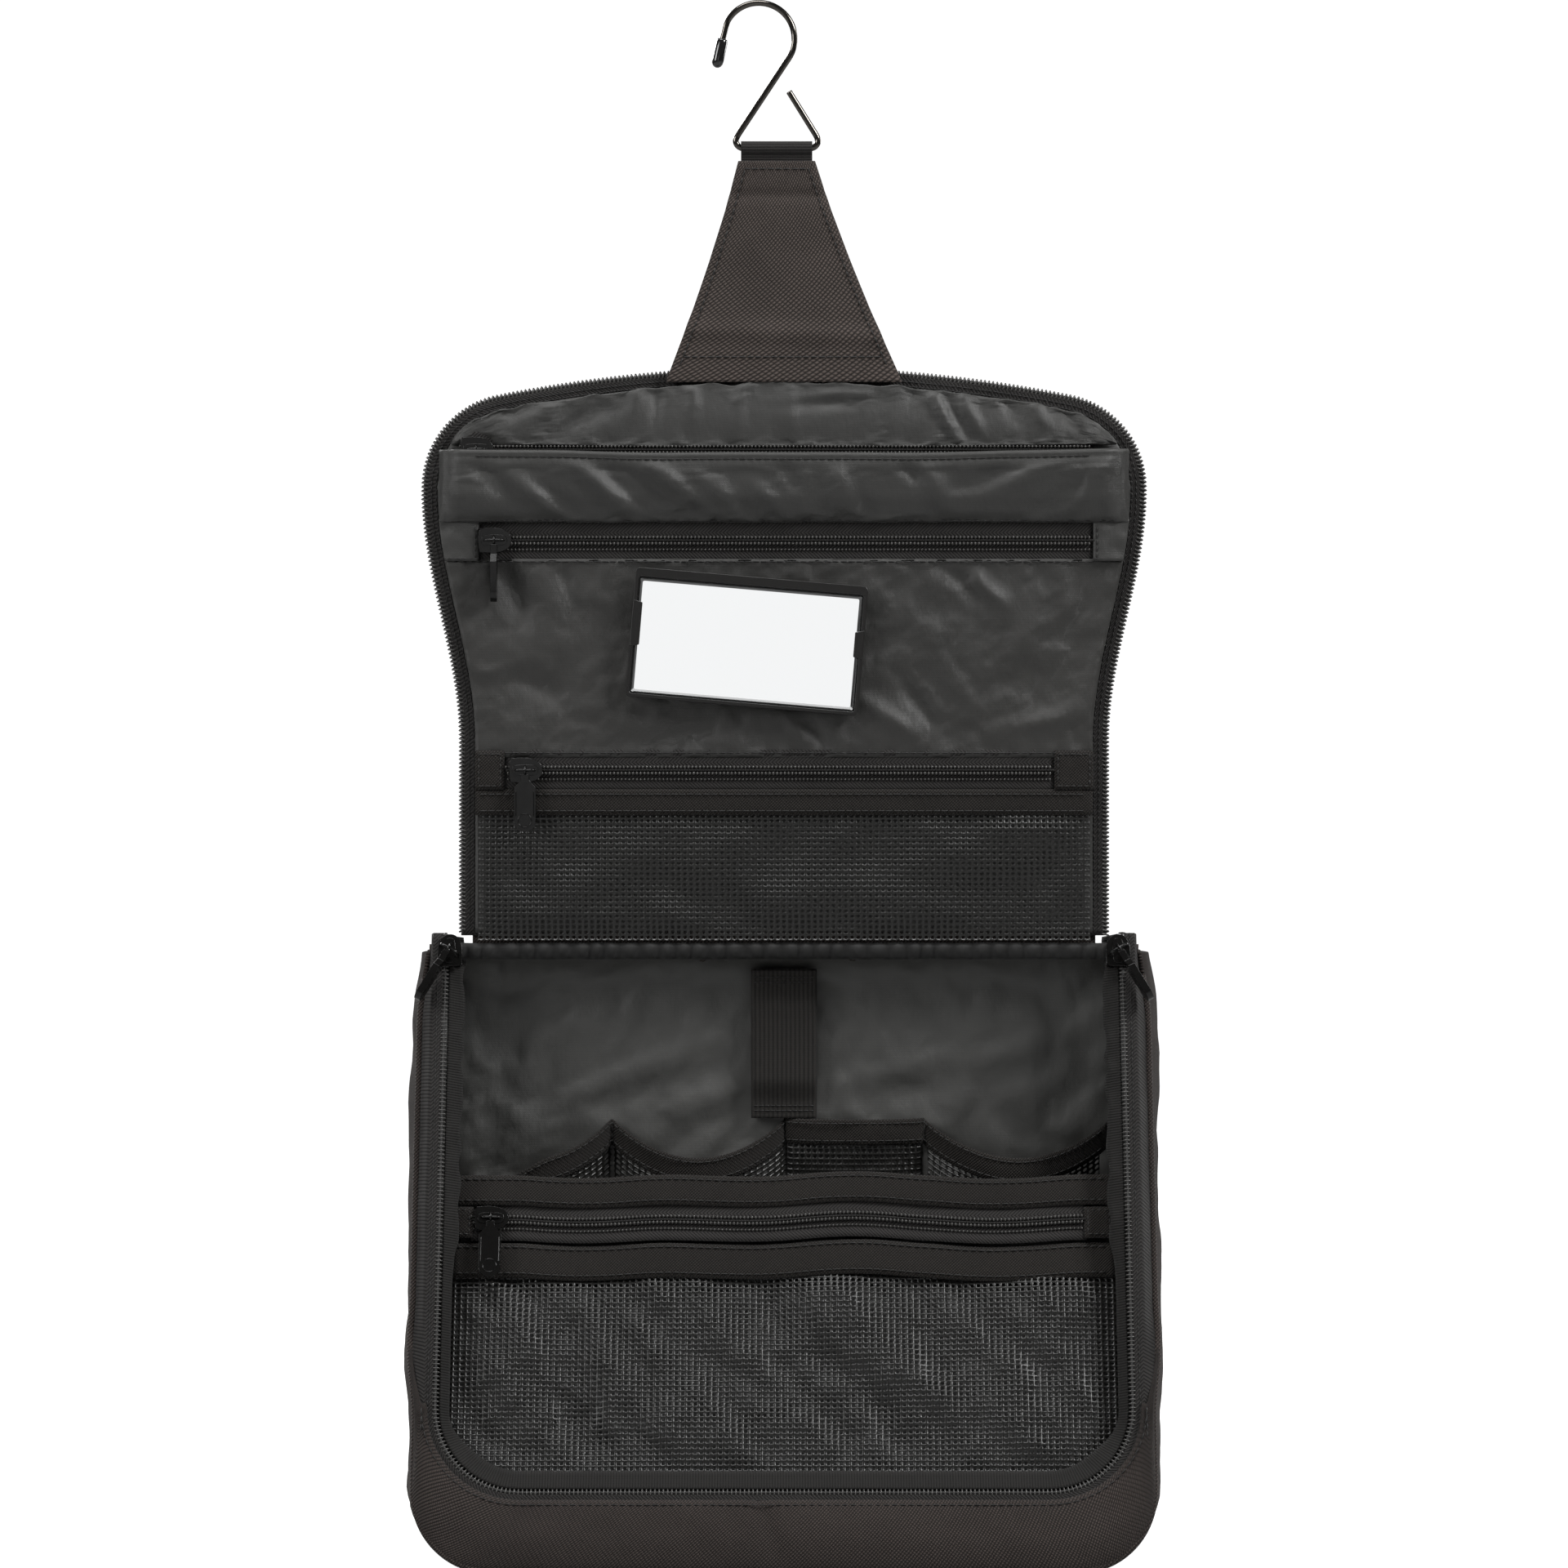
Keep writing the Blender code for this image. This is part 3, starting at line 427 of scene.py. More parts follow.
class Nodes:
    """Short-hand for building a material's node tree."""

    def __init__(self, name):
        self.mat = bpy.data.materials.new(name)
        self.mat.use_nodes = True
        self.tree = self.mat.node_tree
        self.shader = self.tree.nodes["Principled BSDF"]

    def new(self, kind, **settings):
        node = self.tree.nodes.new(kind)
        for key, value in settings.items():
            setattr(node, key, value)
        return node

    def link(self, out, to):
        self.tree.links.new(out, to)

    def math(self, operation, a, b=0.0):
        node = self.new("ShaderNodeMath", operation=operation)
        for socket, value in zip(node.inputs, (a, b)):
            if isinstance(value, (int, float)):
                socket.default_value = value
            else:
                self.link(value, socket)
        return node.outputs[0]

    def uv(self):
        node = self.new("ShaderNodeSeparateXYZ")
        self.link(self.new("ShaderNodeTexCoord").outputs["UV"], node.inputs[0])
        return node.outputs[0], node.outputs[1]

    def noise(self, scale, detail=3.0, roughness=0.55, coords="Object", stretch=None):
        tex = self.new("ShaderNodeTexNoise")
        tex.inputs["Scale"].default_value = scale
        tex.inputs["Detail"].default_value = detail
        tex.inputs["Roughness"].default_value = roughness
        source = self.new("ShaderNodeTexCoord").outputs[coords]
        if stretch:
            mapping = self.new("ShaderNodeMapping")
            mapping.inputs["Scale"].default_value = stretch
            self.link(source, mapping.inputs[0])
            source = mapping.outputs[0]
        self.link(source, tex.inputs["Vector"])
        return tex.outputs["Fac"]

    def ramp(self, value, low, high):
        """A colour between two colours."""
        node = self.new("ShaderNodeMix", data_type="RGBA")
        self.link(value, node.inputs["Factor"])
        node.inputs[6].default_value = (*low, 1)
        node.inputs[7].default_value = (*high, 1)
        return node.outputs[2]

    def blend(self, value, low, high):
        node = self.new("ShaderNodeMapRange")
        self.link(value, node.inputs["Value"])
        node.inputs["To Min"].default_value = low
        node.inputs["To Max"].default_value = high
        return node.outputs[0]

    def bump(self, height, distance, strength=1.0, normal=None):
        node = self.new("ShaderNodeBump")
        node.inputs["Strength"].default_value = strength
        node.inputs["Distance"].default_value = distance
        self.link(height, node.inputs["Height"])
        if normal is not None:
            self.link(normal, node.inputs["Normal"])
        return node.outputs[0]

    def set(self, **values):
        for key, value in values.items():
            socket = self.shader.inputs[key.replace("_", " ")]
            if hasattr(value, "links"):
                self.link(value, socket)
            elif isinstance(value, tuple):
                socket.default_value = (*value, 1.0) if len(value) == 3 else value
            else:
                socket.default_value = value
        return self.mat


def threads(n, coordinate, pitch, power=0.6):
    """The rounded backs of parallel threads, 0 between them and 1 on their crests."""
    turn = n.math("MULTIPLY", coordinate, math.pi / pitch)
    return n.math("POWER", n.math("ABSOLUTE", n.math("SINE", turn)), power)


def twill_cloth(name, dark, light, pitch):
    """Heavy twill: short bright threads in slanted rows, with dark gaps between the rows."""
    n = Nodes(name)
    u, v = n.uv()
    drift = n.math("MULTIPLY", n.noise(35, 2.0), 1.2 * MM)
    across = n.math("ADD", n.math("SUBTRACT", u, v), drift)
    along = n.math("ADD", u, v)
    rows = threads(n, across, pitch, 1.3)
    knots = threads(n, along, pitch * 1.25, 1.0)
    height = n.math("MULTIPLY", rows, n.math("ADD", 0.30, n.math("MULTIPLY", knots, 0.70)))
    fluff = n.math("ADD", n.math("MULTIPLY", height, 0.85), n.math("MULTIPLY", n.noise(900, 2.0), 0.18))
    cloudy = n.noise(28, 4.0)
    tone = n.math("MULTIPLY", fluff, n.blend(cloudy, 0.55, 1.15))
    normal = n.bump(n.noise(120, 3.0), 0.8 * MM, 0.3)
    colour = n.ramp(tone, dark, light)
    return n.set(Base_Color=colour, Roughness=0.8, Normal=n.bump(height, 0.3 * MM, 1.0, normal),
                 Sheen_Weight=0.04, Sheen_Roughness=0.5, Specular_IOR_Level=0.25)


def satin_cloth(name, dark, light, roughness=0.49):
    """A thin lining with a soft shine, faint thread lines and small creases."""
    n = Nodes(name)
    u, v = n.uv()
    fine = n.math("MULTIPLY", threads(n, n.math("ADD", u, v), 0.45 * MM, 1.0), 0.5)
    fine = n.math("ADD", fine, n.math("MULTIPLY", threads(n, v, 0.6 * MM, 1.0), 0.3))
    creases = n.noise(95, 4.0, 0.6, stretch=(1.0, 1.0, 0.55))
    cloudy = n.noise(30, 3.0)
    normal = n.bump(creases, 2.0 * MM, 0.30)
    tone = n.math("ADD", n.math("MULTIPLY", fine, 0.5), n.math("MULTIPLY", cloudy, 0.6))
    return n.set(Base_Color=n.ramp(tone, dark, light),
                 Roughness=n.blend(n.noise(200, 2.0), roughness - 0.06, roughness + 0.10),
                 Normal=n.bump(fine, 0.06 * MM, 0.8, normal), Sheen_Weight=0.10, Sheen_Roughness=0.35,
                 Sheen_Tint=(0.8, 0.82, 0.8), Specular_IOR_Level=0.6, Anisotropic=0.4)


def ribbed_ribbon(name, dark, light, rib, along_u):
    """Grosgrain: ribs across the ribbon, with fine threads running along it."""
    n = Nodes(name)
    u, v = n.uv()
    along, over = (u, v) if along_u else (v, u)
    ribs = threads(n, along, rib, 0.8)
    fine = threads(n, over, 0.5 * MM, 1.0)
    height = n.math("ADD", n.math("MULTIPLY", ribs, 0.8), n.math("MULTIPLY", fine, 0.2))
    cloudy = n.noise(60, 3.0)
    tone = n.math("MULTIPLY", height, n.blend(cloudy, 0.7, 1.2))
    return n.set(Base_Color=n.ramp(tone, dark, light), Roughness=0.75, Normal=n.bump(height, 0.22 * MM, 1.0),
                 Sheen_Weight=0.06, Sheen_Roughness=0.5, Specular_IOR_Level=0.22)


def herringbone_tape(name, dark, light):
    """Zip tape: slanted threads that change direction in narrow columns."""
    n = Nodes(name)
    u, v = n.uv()
    zigzag = n.math("PINGPONG", n.math("DIVIDE", v, 3.2 * MM), 1.0)
    slanted = n.math("ADD", u, n.math("MULTIPLY", zigzag, 3.4 * MM))
    height = threads(n, slanted, 1.25 * MM, 0.9)
    cloudy = n.noise(80, 3.0)
    tone = n.math("MULTIPLY", height, n.blend(cloudy, 0.7, 1.3))
    return n.set(Base_Color=n.ramp(tone, dark, light), Roughness=0.78, Normal=n.bump(height, 0.15 * MM, 1.0),
                 Sheen_Weight=0.05, Specular_IOR_Level=0.22)


def shiny_plastic(name, colour, roughness, grain=0.0, coat=0.0, gloss=0.5):
    n = Nodes(name)
    cloudy = n.noise(120, 3.0)
    dark = tuple(c * 0.75 for c in colour)
    light = tuple(c * 1.25 for c in colour)
    normal = n.bump(n.noise(2500, 2.0), 0.05 * MM, grain)
    worn = n.blend(n.noise(300, 3.0), roughness * 0.8, roughness * 1.3)
    return n.set(Base_Color=n.ramp(cloudy, dark, light), Roughness=worn,
                 Normal=normal, Coat_Weight=coat, Coat_Roughness=0.08, Specular_IOR_Level=gloss)


def polished_metal(name, colour, roughness):
    """Black nickel plate: a dark mirror with faint polishing marks and duller, handled patches."""
    n = Nodes(name)
    marks = n.noise(700, 3.0, 0.6, stretch=(1.0, 1.0, 0.15))
    patches = n.noise(140, 3.0)
    dark = tuple(c * 0.7 for c in colour)
    light = tuple(c * 1.2 for c in colour)
    return n.set(Base_Color=n.ramp(patches, dark, light), Metallic=1.0,
                 Roughness=n.blend(patches, roughness * 0.7, roughness * 1.7),
                 Normal=n.bump(marks, 0.02 * MM, 0.25), Coat_Weight=0.3, Coat_Roughness=0.05)


def mirror_glass(name):
    n = Nodes(name)
    smears = n.noise(60, 4.0, 0.6)
    return n.set(Base_Color=(0.95, 0.96, 0.965), Metallic=1.0, Roughness=n.blend(smears, 0.012, 0.035))


def fuzzy_patch(name):
    n = Nodes(name)
    loops = n.noise(1400, 4.0, 0.7)
    return n.set(Base_Color=n.ramp(loops, (0.006, 0.006, 0.006), (0.03, 0.03, 0.03)), Roughness=0.95,
                 Normal=n.bump(loops, 0.5 * MM, 1.0), Sheen_Weight=0.4)


MAT = {
    "outer": twill_cloth("outer_cloth", (0.0012, 0.0010, 0.0009), (0.080, 0.063, 0.056), 1.15 * MM),
    "tab": twill_cloth("tab_cloth", (0.0006, 0.0005, 0.0004), (0.118, 0.094, 0.083), 1.45 * MM),
    "satin": satin_cloth("satin_lining", (0.013, 0.013, 0.0122), (0.036, 0.0355, 0.033)),
    "hinge_satin": satin_cloth("hinge_binding_satin", (0.0012, 0.0012, 0.0011),
                               (0.006, 0.0058, 0.0054), 0.75),
    # A lighter copy of the lining satin: painted light, where the back wall inside the body is lit.
    "back_satin": satin_cloth("back_lining_satin", (0.031, 0.031, 0.0293), (0.066, 0.0655, 0.0615), 0.5),
    # A darker copy of the lining satin: painted shade, for the mirror panel in the shade below the flap.
    "mirror_satin": satin_cloth("mirror_panel_satin", (0.009, 0.0088, 0.0080), (0.028, 0.027, 0.0245)),
    # A much darker copy of the lining satin: painted shade, for the linings in the body's shaded sides and
    # behind the wall net.
    "deep_satin": satin_cloth("deep_satin_lining", (0.0035, 0.0035, 0.0032), (0.011, 0.011, 0.0105), 0.5),
    "grosgrain": twill_cloth("twill_ribbon", (0.0010, 0.0009, 0.0008), (0.034, 0.029, 0.025), 1.0 * MM),
    "elastic": ribbed_ribbon("elastic", (0.003, 0.0028, 0.0026), (0.026, 0.024, 0.022), 1.5 * MM, True),
    "loop": ribbed_ribbon("webbing", (0.004, 0.0036, 0.0034), (0.022, 0.020, 0.019), 0.9 * MM, False),
    "binding": ribbed_ribbon("binding", (0.004, 0.0037, 0.0034), (0.018, 0.017, 0.016), 0.9 * MM, True),
    "tape": herringbone_tape("zip_tape", (0.0016, 0.0014, 0.0014), (0.030, 0.028, 0.027)),
    "net": shiny_plastic("nylon_net", (0.009, 0.0086, 0.0078), 0.30),
    "coil": shiny_plastic("nylon_coil", (0.070, 0.068, 0.065), 0.25),
    "thread": shiny_plastic("sewing_thread", (0.010, 0.0095, 0.009), 0.55),
    "metal": shiny_plastic("black_enamel", (0.0035, 0.0033, 0.0031), 0.19, 0.0, 0.0, 0.38),
    "hook": polished_metal("black_nickel_wire", (0.10, 0.092, 0.082), 0.13),
    "tip": shiny_plastic("black_rubber_tip", (0.006, 0.006, 0.006), 0.14, 0.0, 0.6),
    "frame": shiny_plastic("moulded_frame", (0.007, 0.0065, 0.006), 0.34, 0.25),
    "mirror": mirror_glass("mirror_glass"),
    "patch": fuzzy_patch("hook_and_loop"),
}


# ---------------------------------------------------------------- outlines


def lid_side(height, inset=0.0):
    grow = smoothstep((height - SHOULDER_LOW) / (SHOULDER_HIGH - SHOULDER_LOW))
    return LID_WAIST + (LID_SHOULDER - LID_WAIST) * grow - inset


ARCH_Y = LID_LENGTH - LID_ARCH_RADIUS
CORNER_X = LID_SHOULDER - LID_CORNER_RADIUS
CORNER_Y = ARCH_Y + math.sqrt((LID_ARCH_RADIUS - LID_CORNER_RADIUS) ** 2 - CORNER_X**2)
ARCH_LEAN = math.asin(CORNER_X / (LID_ARCH_RADIUS - LID_CORNER_RADIUS))


def lid_half(inset, foot):
    """The lid's right-hand edge, from its foot round the corner to the middle of the free edge."""
    lean = math.degrees(ARCH_LEAN)
    side = [(lid_side(h, inset), h) for h in spread(foot, CORNER_Y, 40)[:-1]]
    corner = arc(CORNER_X, CORNER_Y, LID_CORNER_RADIUS - inset, 0, 90 - lean, 16)
    return side + corner + arc(0, ARCH_Y, LID_ARCH_RADIUS - inset, 90 - lean * 0.95, 90, 20)


def lid_top(x, inset):
    """Height of the lid's free edge at a distance across."""
    x = abs(x)
    arch = LID_ARCH_RADIUS - inset
    if x < arch * math.sin(ARCH_LEAN):
        return ARCH_Y + math.sqrt(arch**2 - x**2)
    radius = LID_CORNER_RADIUS - inset
    reach = min(radius, x - CORNER_X)
    return CORNER_Y + math.sqrt(max(0.0, radius**2 - reach**2))


def lid_cell(c, r, inset, foot):
    """A point of the whole lid from -1..1 across and 0..1 up, following the lid's outline."""
    x = c * (LID_SHOULDER - inset)
    h = foot + (lid_top(x, inset) - foot) * r
    return c * lid_side(min(h, CORNER_Y), inset), h


def rim_half(grow, top):
    radius = RIM_CORNER + grow
    x = RIM_HALF + grow
    low = -RIM_REACH - grow
    side = [(x, y) for y in spread(top, low + radius, 60)[:-1]]
    base = [(bx, low) for bx in spread(x - radius, 0.0, 40)[1:]]
    return side + arc(x - radius, low + radius, radius, 0, -90, 12) + base


def rim_y(z):
    return HINGE_Y - (HEIGHT - z) * math.tan(RAKE)


def tape_turn(z):
    return smoothstep((z - 48 * MM) / (40 * MM))


def tape_edge(z):
    turn = tape_turn(z)
    tail = (1.5 * MM + 5.5 * MM * turn) * (0.2 + 0.8 * smoothstep((HEIGHT - z) / (25 * MM)))
    return RIM_HALF + TAPE_FLAT + tail * math.cos(TAPE_TURN * turn), tail * math.sin(TAPE_TURN * turn)


def back_y(z, inset=0.0):
    over = min(max(0.0, z - (HEIGHT - TOP_RADIUS)), TOP_RADIUS - inset)
    return BACK_Y - TOP_RADIUS + math.sqrt(max(0.0, (TOP_RADIUS - inset) ** 2 - over**2))


def body_half(z):
    return BODY_HALF_TOP + (BODY_HALF - BODY_HALF_TOP) * smoothstep((HEIGHT - z) / NARROWING)


# ---------------------------------------------------------------- cloth


CLOTHS = []
CLOTH_FRAMES = 18


def coordinates(mesh, what="co"):
    values = np.empty(len(mesh.vertices) * 3)
    mesh.vertices.foreach_get(what, values)
    return values.reshape(-1, 3)


def drape(obj, rows, cols, growth, cap, seed, pinned=(), stiffness=12.0, bending=0.25, push=0.0):
    """Queues a cloth run: the sheet grows a little inside its sewn edges and buckles into creases."""
    rng = np.random.default_rng(seed)
    mesh = obj.data
    co = coordinates(mesh)
    rest = co.copy()
    normals = coordinates(mesh, "normal")
    lumps = np.array([ripple(p[0], p[2], 14 * MM, seed * 3.1) for p in co])
    inner = np.ones((rows, cols))
    inner[0, :] = inner[-1, :] = 0
    inner[:, 0] = inner[:, -1] = 0
    for r in pinned:
        inner[r, :] = 0
    inner = inner.reshape(-1)
    co += normals * ((lumps * 0.5 + rng.uniform(-0.1, 0.1, len(co))) * MM * inner)[:, None]
    mesh.vertices.foreach_set("co", co.ravel())
    group = obj.vertex_groups.new(name="sewn")
    group.add([int(i) for i in np.flatnonzero(inner == 0)], 1.0, "REPLACE")
    CLOTHS.append((obj, rest, cap, growth, stiffness, bending, push))


def run_cloths():
    """Runs every queued cloth together, then keeps each result within its cap."""
    if not CLOTHS:
        CLOTHS.clear()
        return
    scene = bpy.context.scene
    for obj, _, _, growth, stiffness, bending, push in CLOTHS:
        cloth = obj.modifiers.new("cloth", "CLOTH")
        obj.modifiers.move(len(obj.modifiers) - 1, 0)
        s = cloth.settings
        s.quality = 4
        s.mass = 0.2
        s.tension_stiffness = s.compression_stiffness = stiffness
        s.shear_stiffness = stiffness / 2
        s.bending_stiffness = bending
        s.shrink_min = -growth
        s.effector_weights.gravity = 0
        s.vertex_group_mass = "sewn"
        s.pin_stiffness = 1
        if push:
            s.use_pressure = True
            s.uniform_pressure_force = push
        cloth.collision_settings.use_collision = False
        cloth.collision_settings.use_self_collision = False
        cloth.point_cache.frame_start = 1
        cloth.point_cache.frame_end = CLOTH_FRAMES
    scene.frame_start, scene.frame_end = 1, CLOTH_FRAMES
    for step in range(1, CLOTH_FRAMES + 1):
        scene.frame_set(step)
    graph = bpy.context.evaluated_depsgraph_get()
    results = []
    for obj, *_ in CLOTHS:
        for m in obj.modifiers:
            if m.type != "CLOTH":
                m.show_viewport = False
    bpy.context.view_layer.update()
    graph.update()
    for obj, *_ in CLOTHS:
        results.append(coordinates(obj.evaluated_get(graph).to_mesh()))
        obj.evaluated_get(graph).to_mesh_clear()
    for (obj, rest, cap, *_), co in zip(CLOTHS, results):
        move = co - rest
        size = np.linalg.norm(move, axis=1)
        limit = np.where(size > 1e-9, np.tanh(size / cap) * cap / np.maximum(size, 1e-9), 1.0)
        co = rest + move * limit[:, None]
        for m in list(obj.modifiers):
            if m.type == "CLOTH":
                obj.modifiers.remove(m)
            else:
                m.show_viewport = True
        obj.data.vertices.foreach_set("co", co.ravel())
        obj.data.update()
    scene.frame_set(1)
    CLOTHS.clear()


# ---------------------------------------------------------------- body shell


def seam_lift(t, width=0.06):
    """How far a panel is held in near its two seams: 0 on a seam, 1 clear of it."""
    return smoothstep(t / width) * smoothstep((1 - t) / width)


def gusset_point(t, s, offset):
    """The gusset from back (t 0) to front (t 1); s runs from its right-hand top (0) round to its left (1)."""
    side = HEIGHT - 3 * MM - CORNER_RADIUS
    radius = CORNER_RADIUS - offset
    bend = math.pi / 2 * CORNER_RADIUS
    base = BODY_HALF - CORNER_RADIUS
    run = (side + bend + base) * (1 - abs(1 - 2 * s))
    mirror = 1 if s <= 0.5 else -1
    if run <= side:
        z, over, flat = HEIGHT - 3 * MM - run, 0.0, 0.0
    elif run <= side + bend:
        over, flat = (run - side) / CORNER_RADIUS, 0.0
        z = CORNER_RADIUS - radius * math.sin(over)
    else:
        over, flat, z = math.pi / 2, (run - side - bend) / base, offset
    edge, depth = tape_edge(z)
    at_back = body_half(z) - offset
    at_front = edge + CLOTH / 2 + 0.4 * MM - (offset - CLOTH / 2)
    half = at_back + (at_front - at_back) * smoothstep(t)
    x = (half - radius) * (1 - flat) + radius * math.cos(over)
    y0 = back_y(z, offset)
    y1 = rim_y(z) + (1.1 * MM + depth) / math.cos(RAKE)
    y = y0 + (y1 - y0) * t
    outward = np.array([math.cos(over), 0.0, -math.sin(over)])
    sag = 2.0 * MM * math.sin(math.pi * t) * (1 - smoothstep((over - 0.6) / 0.9))
    wrinkle = ripple(y, z + x * 0.6, 26 * MM, 4.0 + mirror) * 1.5 * MM
    wrinkle += ripple(y * 0.5, z + x, 11 * MM, 9.0 + mirror) * 0.45 * MM
    wrinkle *= seam_lift(t, 0.12) * (1 - smoothstep((over - 0.9) / 0.6))
    point = np.array([x, y, z]) + outward * (sag + wrinkle)
    point[0] *= mirror
    return point


def build_gusset():
    grid = [[gusset_point(t, s, CLOTH / 2) for s in spread(0.0, 1.0, 221)] for t in spread(0.0, 1.0, 29)]
    shell = surface("gusset", grid, MAT["outer"], CLOTH)
    attach(shell, "body", "side_gusset_left", "side_gusset_right", "base_gusset")
    inside = CLOTH + 1.1 * MM
    grid = [[gusset_point(t, s, inside) for s in spread(0.01, 0.99, 161)] for t in spread(0.02, 0.97, 29)]
    for t, row in zip(spread(0.0, 1.0, 29), grid):
        for point in row:
            high = smoothstep((point[2] - 118 * MM) / (30 * MM)) * smoothstep((HEIGHT - point[2]) / (16 * MM))
            loose = 13 * MM * math.sin(math.pi * min(1.0, t * 1.35)) ** 2 if t < 0.74 else 0.0
            loose *= 1 + 0.5 * ripple(point[1], point[2], 24 * MM, 5.0)
            point[0] -= math.copysign(loose * high, point[0])
    # The gusset lining takes the darker satin copy: painted shade on the body's inner sides.
    lining = surface("gusset_satin", grid, MAT["deep_satin"], LINING)
    attach(lining, "body", "gusset_lining")
    behind = np.array([0, 0.3 * MM, 0])
    back_seam = [gusset_point(0.0, s, CLOTH * 0.35) + behind for s in spread(0.0, 1.0, 240)]
    welt = tube("back_welt", back_seam, 1.25 * MM, MAT["outer"], 8)
    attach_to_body(welt, "body")


def back_path(inset, low, front, count):
    """The back from its foot up and over to the hinge, as (y, z) points evenly spaced."""
    roll = TOP_RADIUS - inset
    path = [(BACK_Y - inset, low), (BACK_Y - inset, HEIGHT - TOP_RADIUS)]
    path += arc(BACK_Y - TOP_RADIUS, HEIGHT - TOP_RADIUS, roll, 3, 90, 14)
    path += [(front, HEIGHT - inset)]
    return resample(path, count)


def back_grid(inset, side_gap, low, front, rows, cols, swell=0.0):
    grid = []
    radius = CORNER_RADIUS - side_gap
    path = back_path(inset, low, front, rows)
    tangents = directions(path)
    for k, (y, z) in enumerate(path):
        half = body_half(z) - side_gap
        drop = max(0.0, CORNER_RADIUS - z)
        half = half - radius + math.sqrt(max(0.0, radius**2 - drop**2))
        ny, nz = tangents[k][1], -tangents[k][0]
        row = []
        for c in spread(-1.0, 1.0, cols):
            lift = swell * (1 - c**4) * math.sin(math.pi * min(1.0, max(0.0, k / (rows - 1)))) ** 0.7
            row.append((c * half, y + ny * lift, z + nz * lift))
        grid.append(row)
    return np.array(grid)


# Folds of the back lining, as folded() reads them
BACK_FOLDS = (
    (-80, 158, 75, 26, 6.0, -3.0), (-66, 170, 80, 22, 6.0, 2.2), (-45, 161, 18, 26, 4.0, 2.6),
    (-40, 154, 18, 28, 5.0, -2.6), (-24, 150, 25, 14, 5.0, 2.0), (-30, 184, 55, 14, 4.0, -1.4),
    (-18, 178, 60, 12, 3.5, 1.4), (40, 159, 12, 26, 3.5, 2.4), (44, 152, 12, 28, 5.0, -2.6),
    (84, 168, 22, 22, 4.0, 2.6), (88, 160, 24, 22, 5.0, -2.8), (60, 150, 75, 10, 4.0, 2.0),
    (100, 180, 50, 14, 5.0, -2.2), (20, 182, 115, 12, 4.0, -1.2), (70, 188, 20, 16, 4.0, -1.0),
    (-96, 178, 30, 12, 5.0, 2.0))


def build_back():
    rows, cols = 70, 81
    grid = back_grid(CLOTH / 2, CLOTH / 2, 2.0 * MM, HINGE_Y + 2.4 * MM, rows, cols, 0.6 * MM)
    shell = surface("back_cloth", grid, MAT["outer"], CLOTH, flip=True)
    drape(shell, rows, cols, 0.006, 2.2 * MM, 3, stiffness=20, bending=1.5, push=0.25)
    attach(shell, "body", "back_panel")
    inset = CLOTH + 1.2 * MM
    rows, cols = 100, 131
    grid = back_grid(inset, inset + 1.0 * MM, 4 * MM, HINGE_Y + 4.2 * MM, rows, cols)
    for point in grid.reshape(-1, 3):
        held = smoothstep((HEIGHT - 6 * MM - point[2]) / (14 * MM))
        point[1] -= (folded(BACK_FOLDS, point[0], point[2]) * 0.5 + 1.8 * MM) * held
    # The back lining takes the lighter satin copy: painted light on the lit back wall.
    lining = surface("back_satin", grid, MAT["back_satin"], LINING)
    drape(lining, rows, cols, 0.02, 1.6 * MM, 5, stiffness=8, bending=0.15)
    attach(lining, "body", "back_lining")


def border_path(grow, corner_grow, top, foot):
    """One edge of the front border: right arm, corner, base, corner, left arm, with matching point counts."""
    radius = RIM_CORNER + corner_grow
    half = RIM_HALF + grow
    right = [(half, y) for y in spread(top, foot + radius, 26)[:-1]]
    right += arc(half - radius, foot + radius, radius, 0, -90, 16)
    right += [(x, foot) for x in spread(half - radius, 0.0, 60)[1:]]
    return both_sides(right)


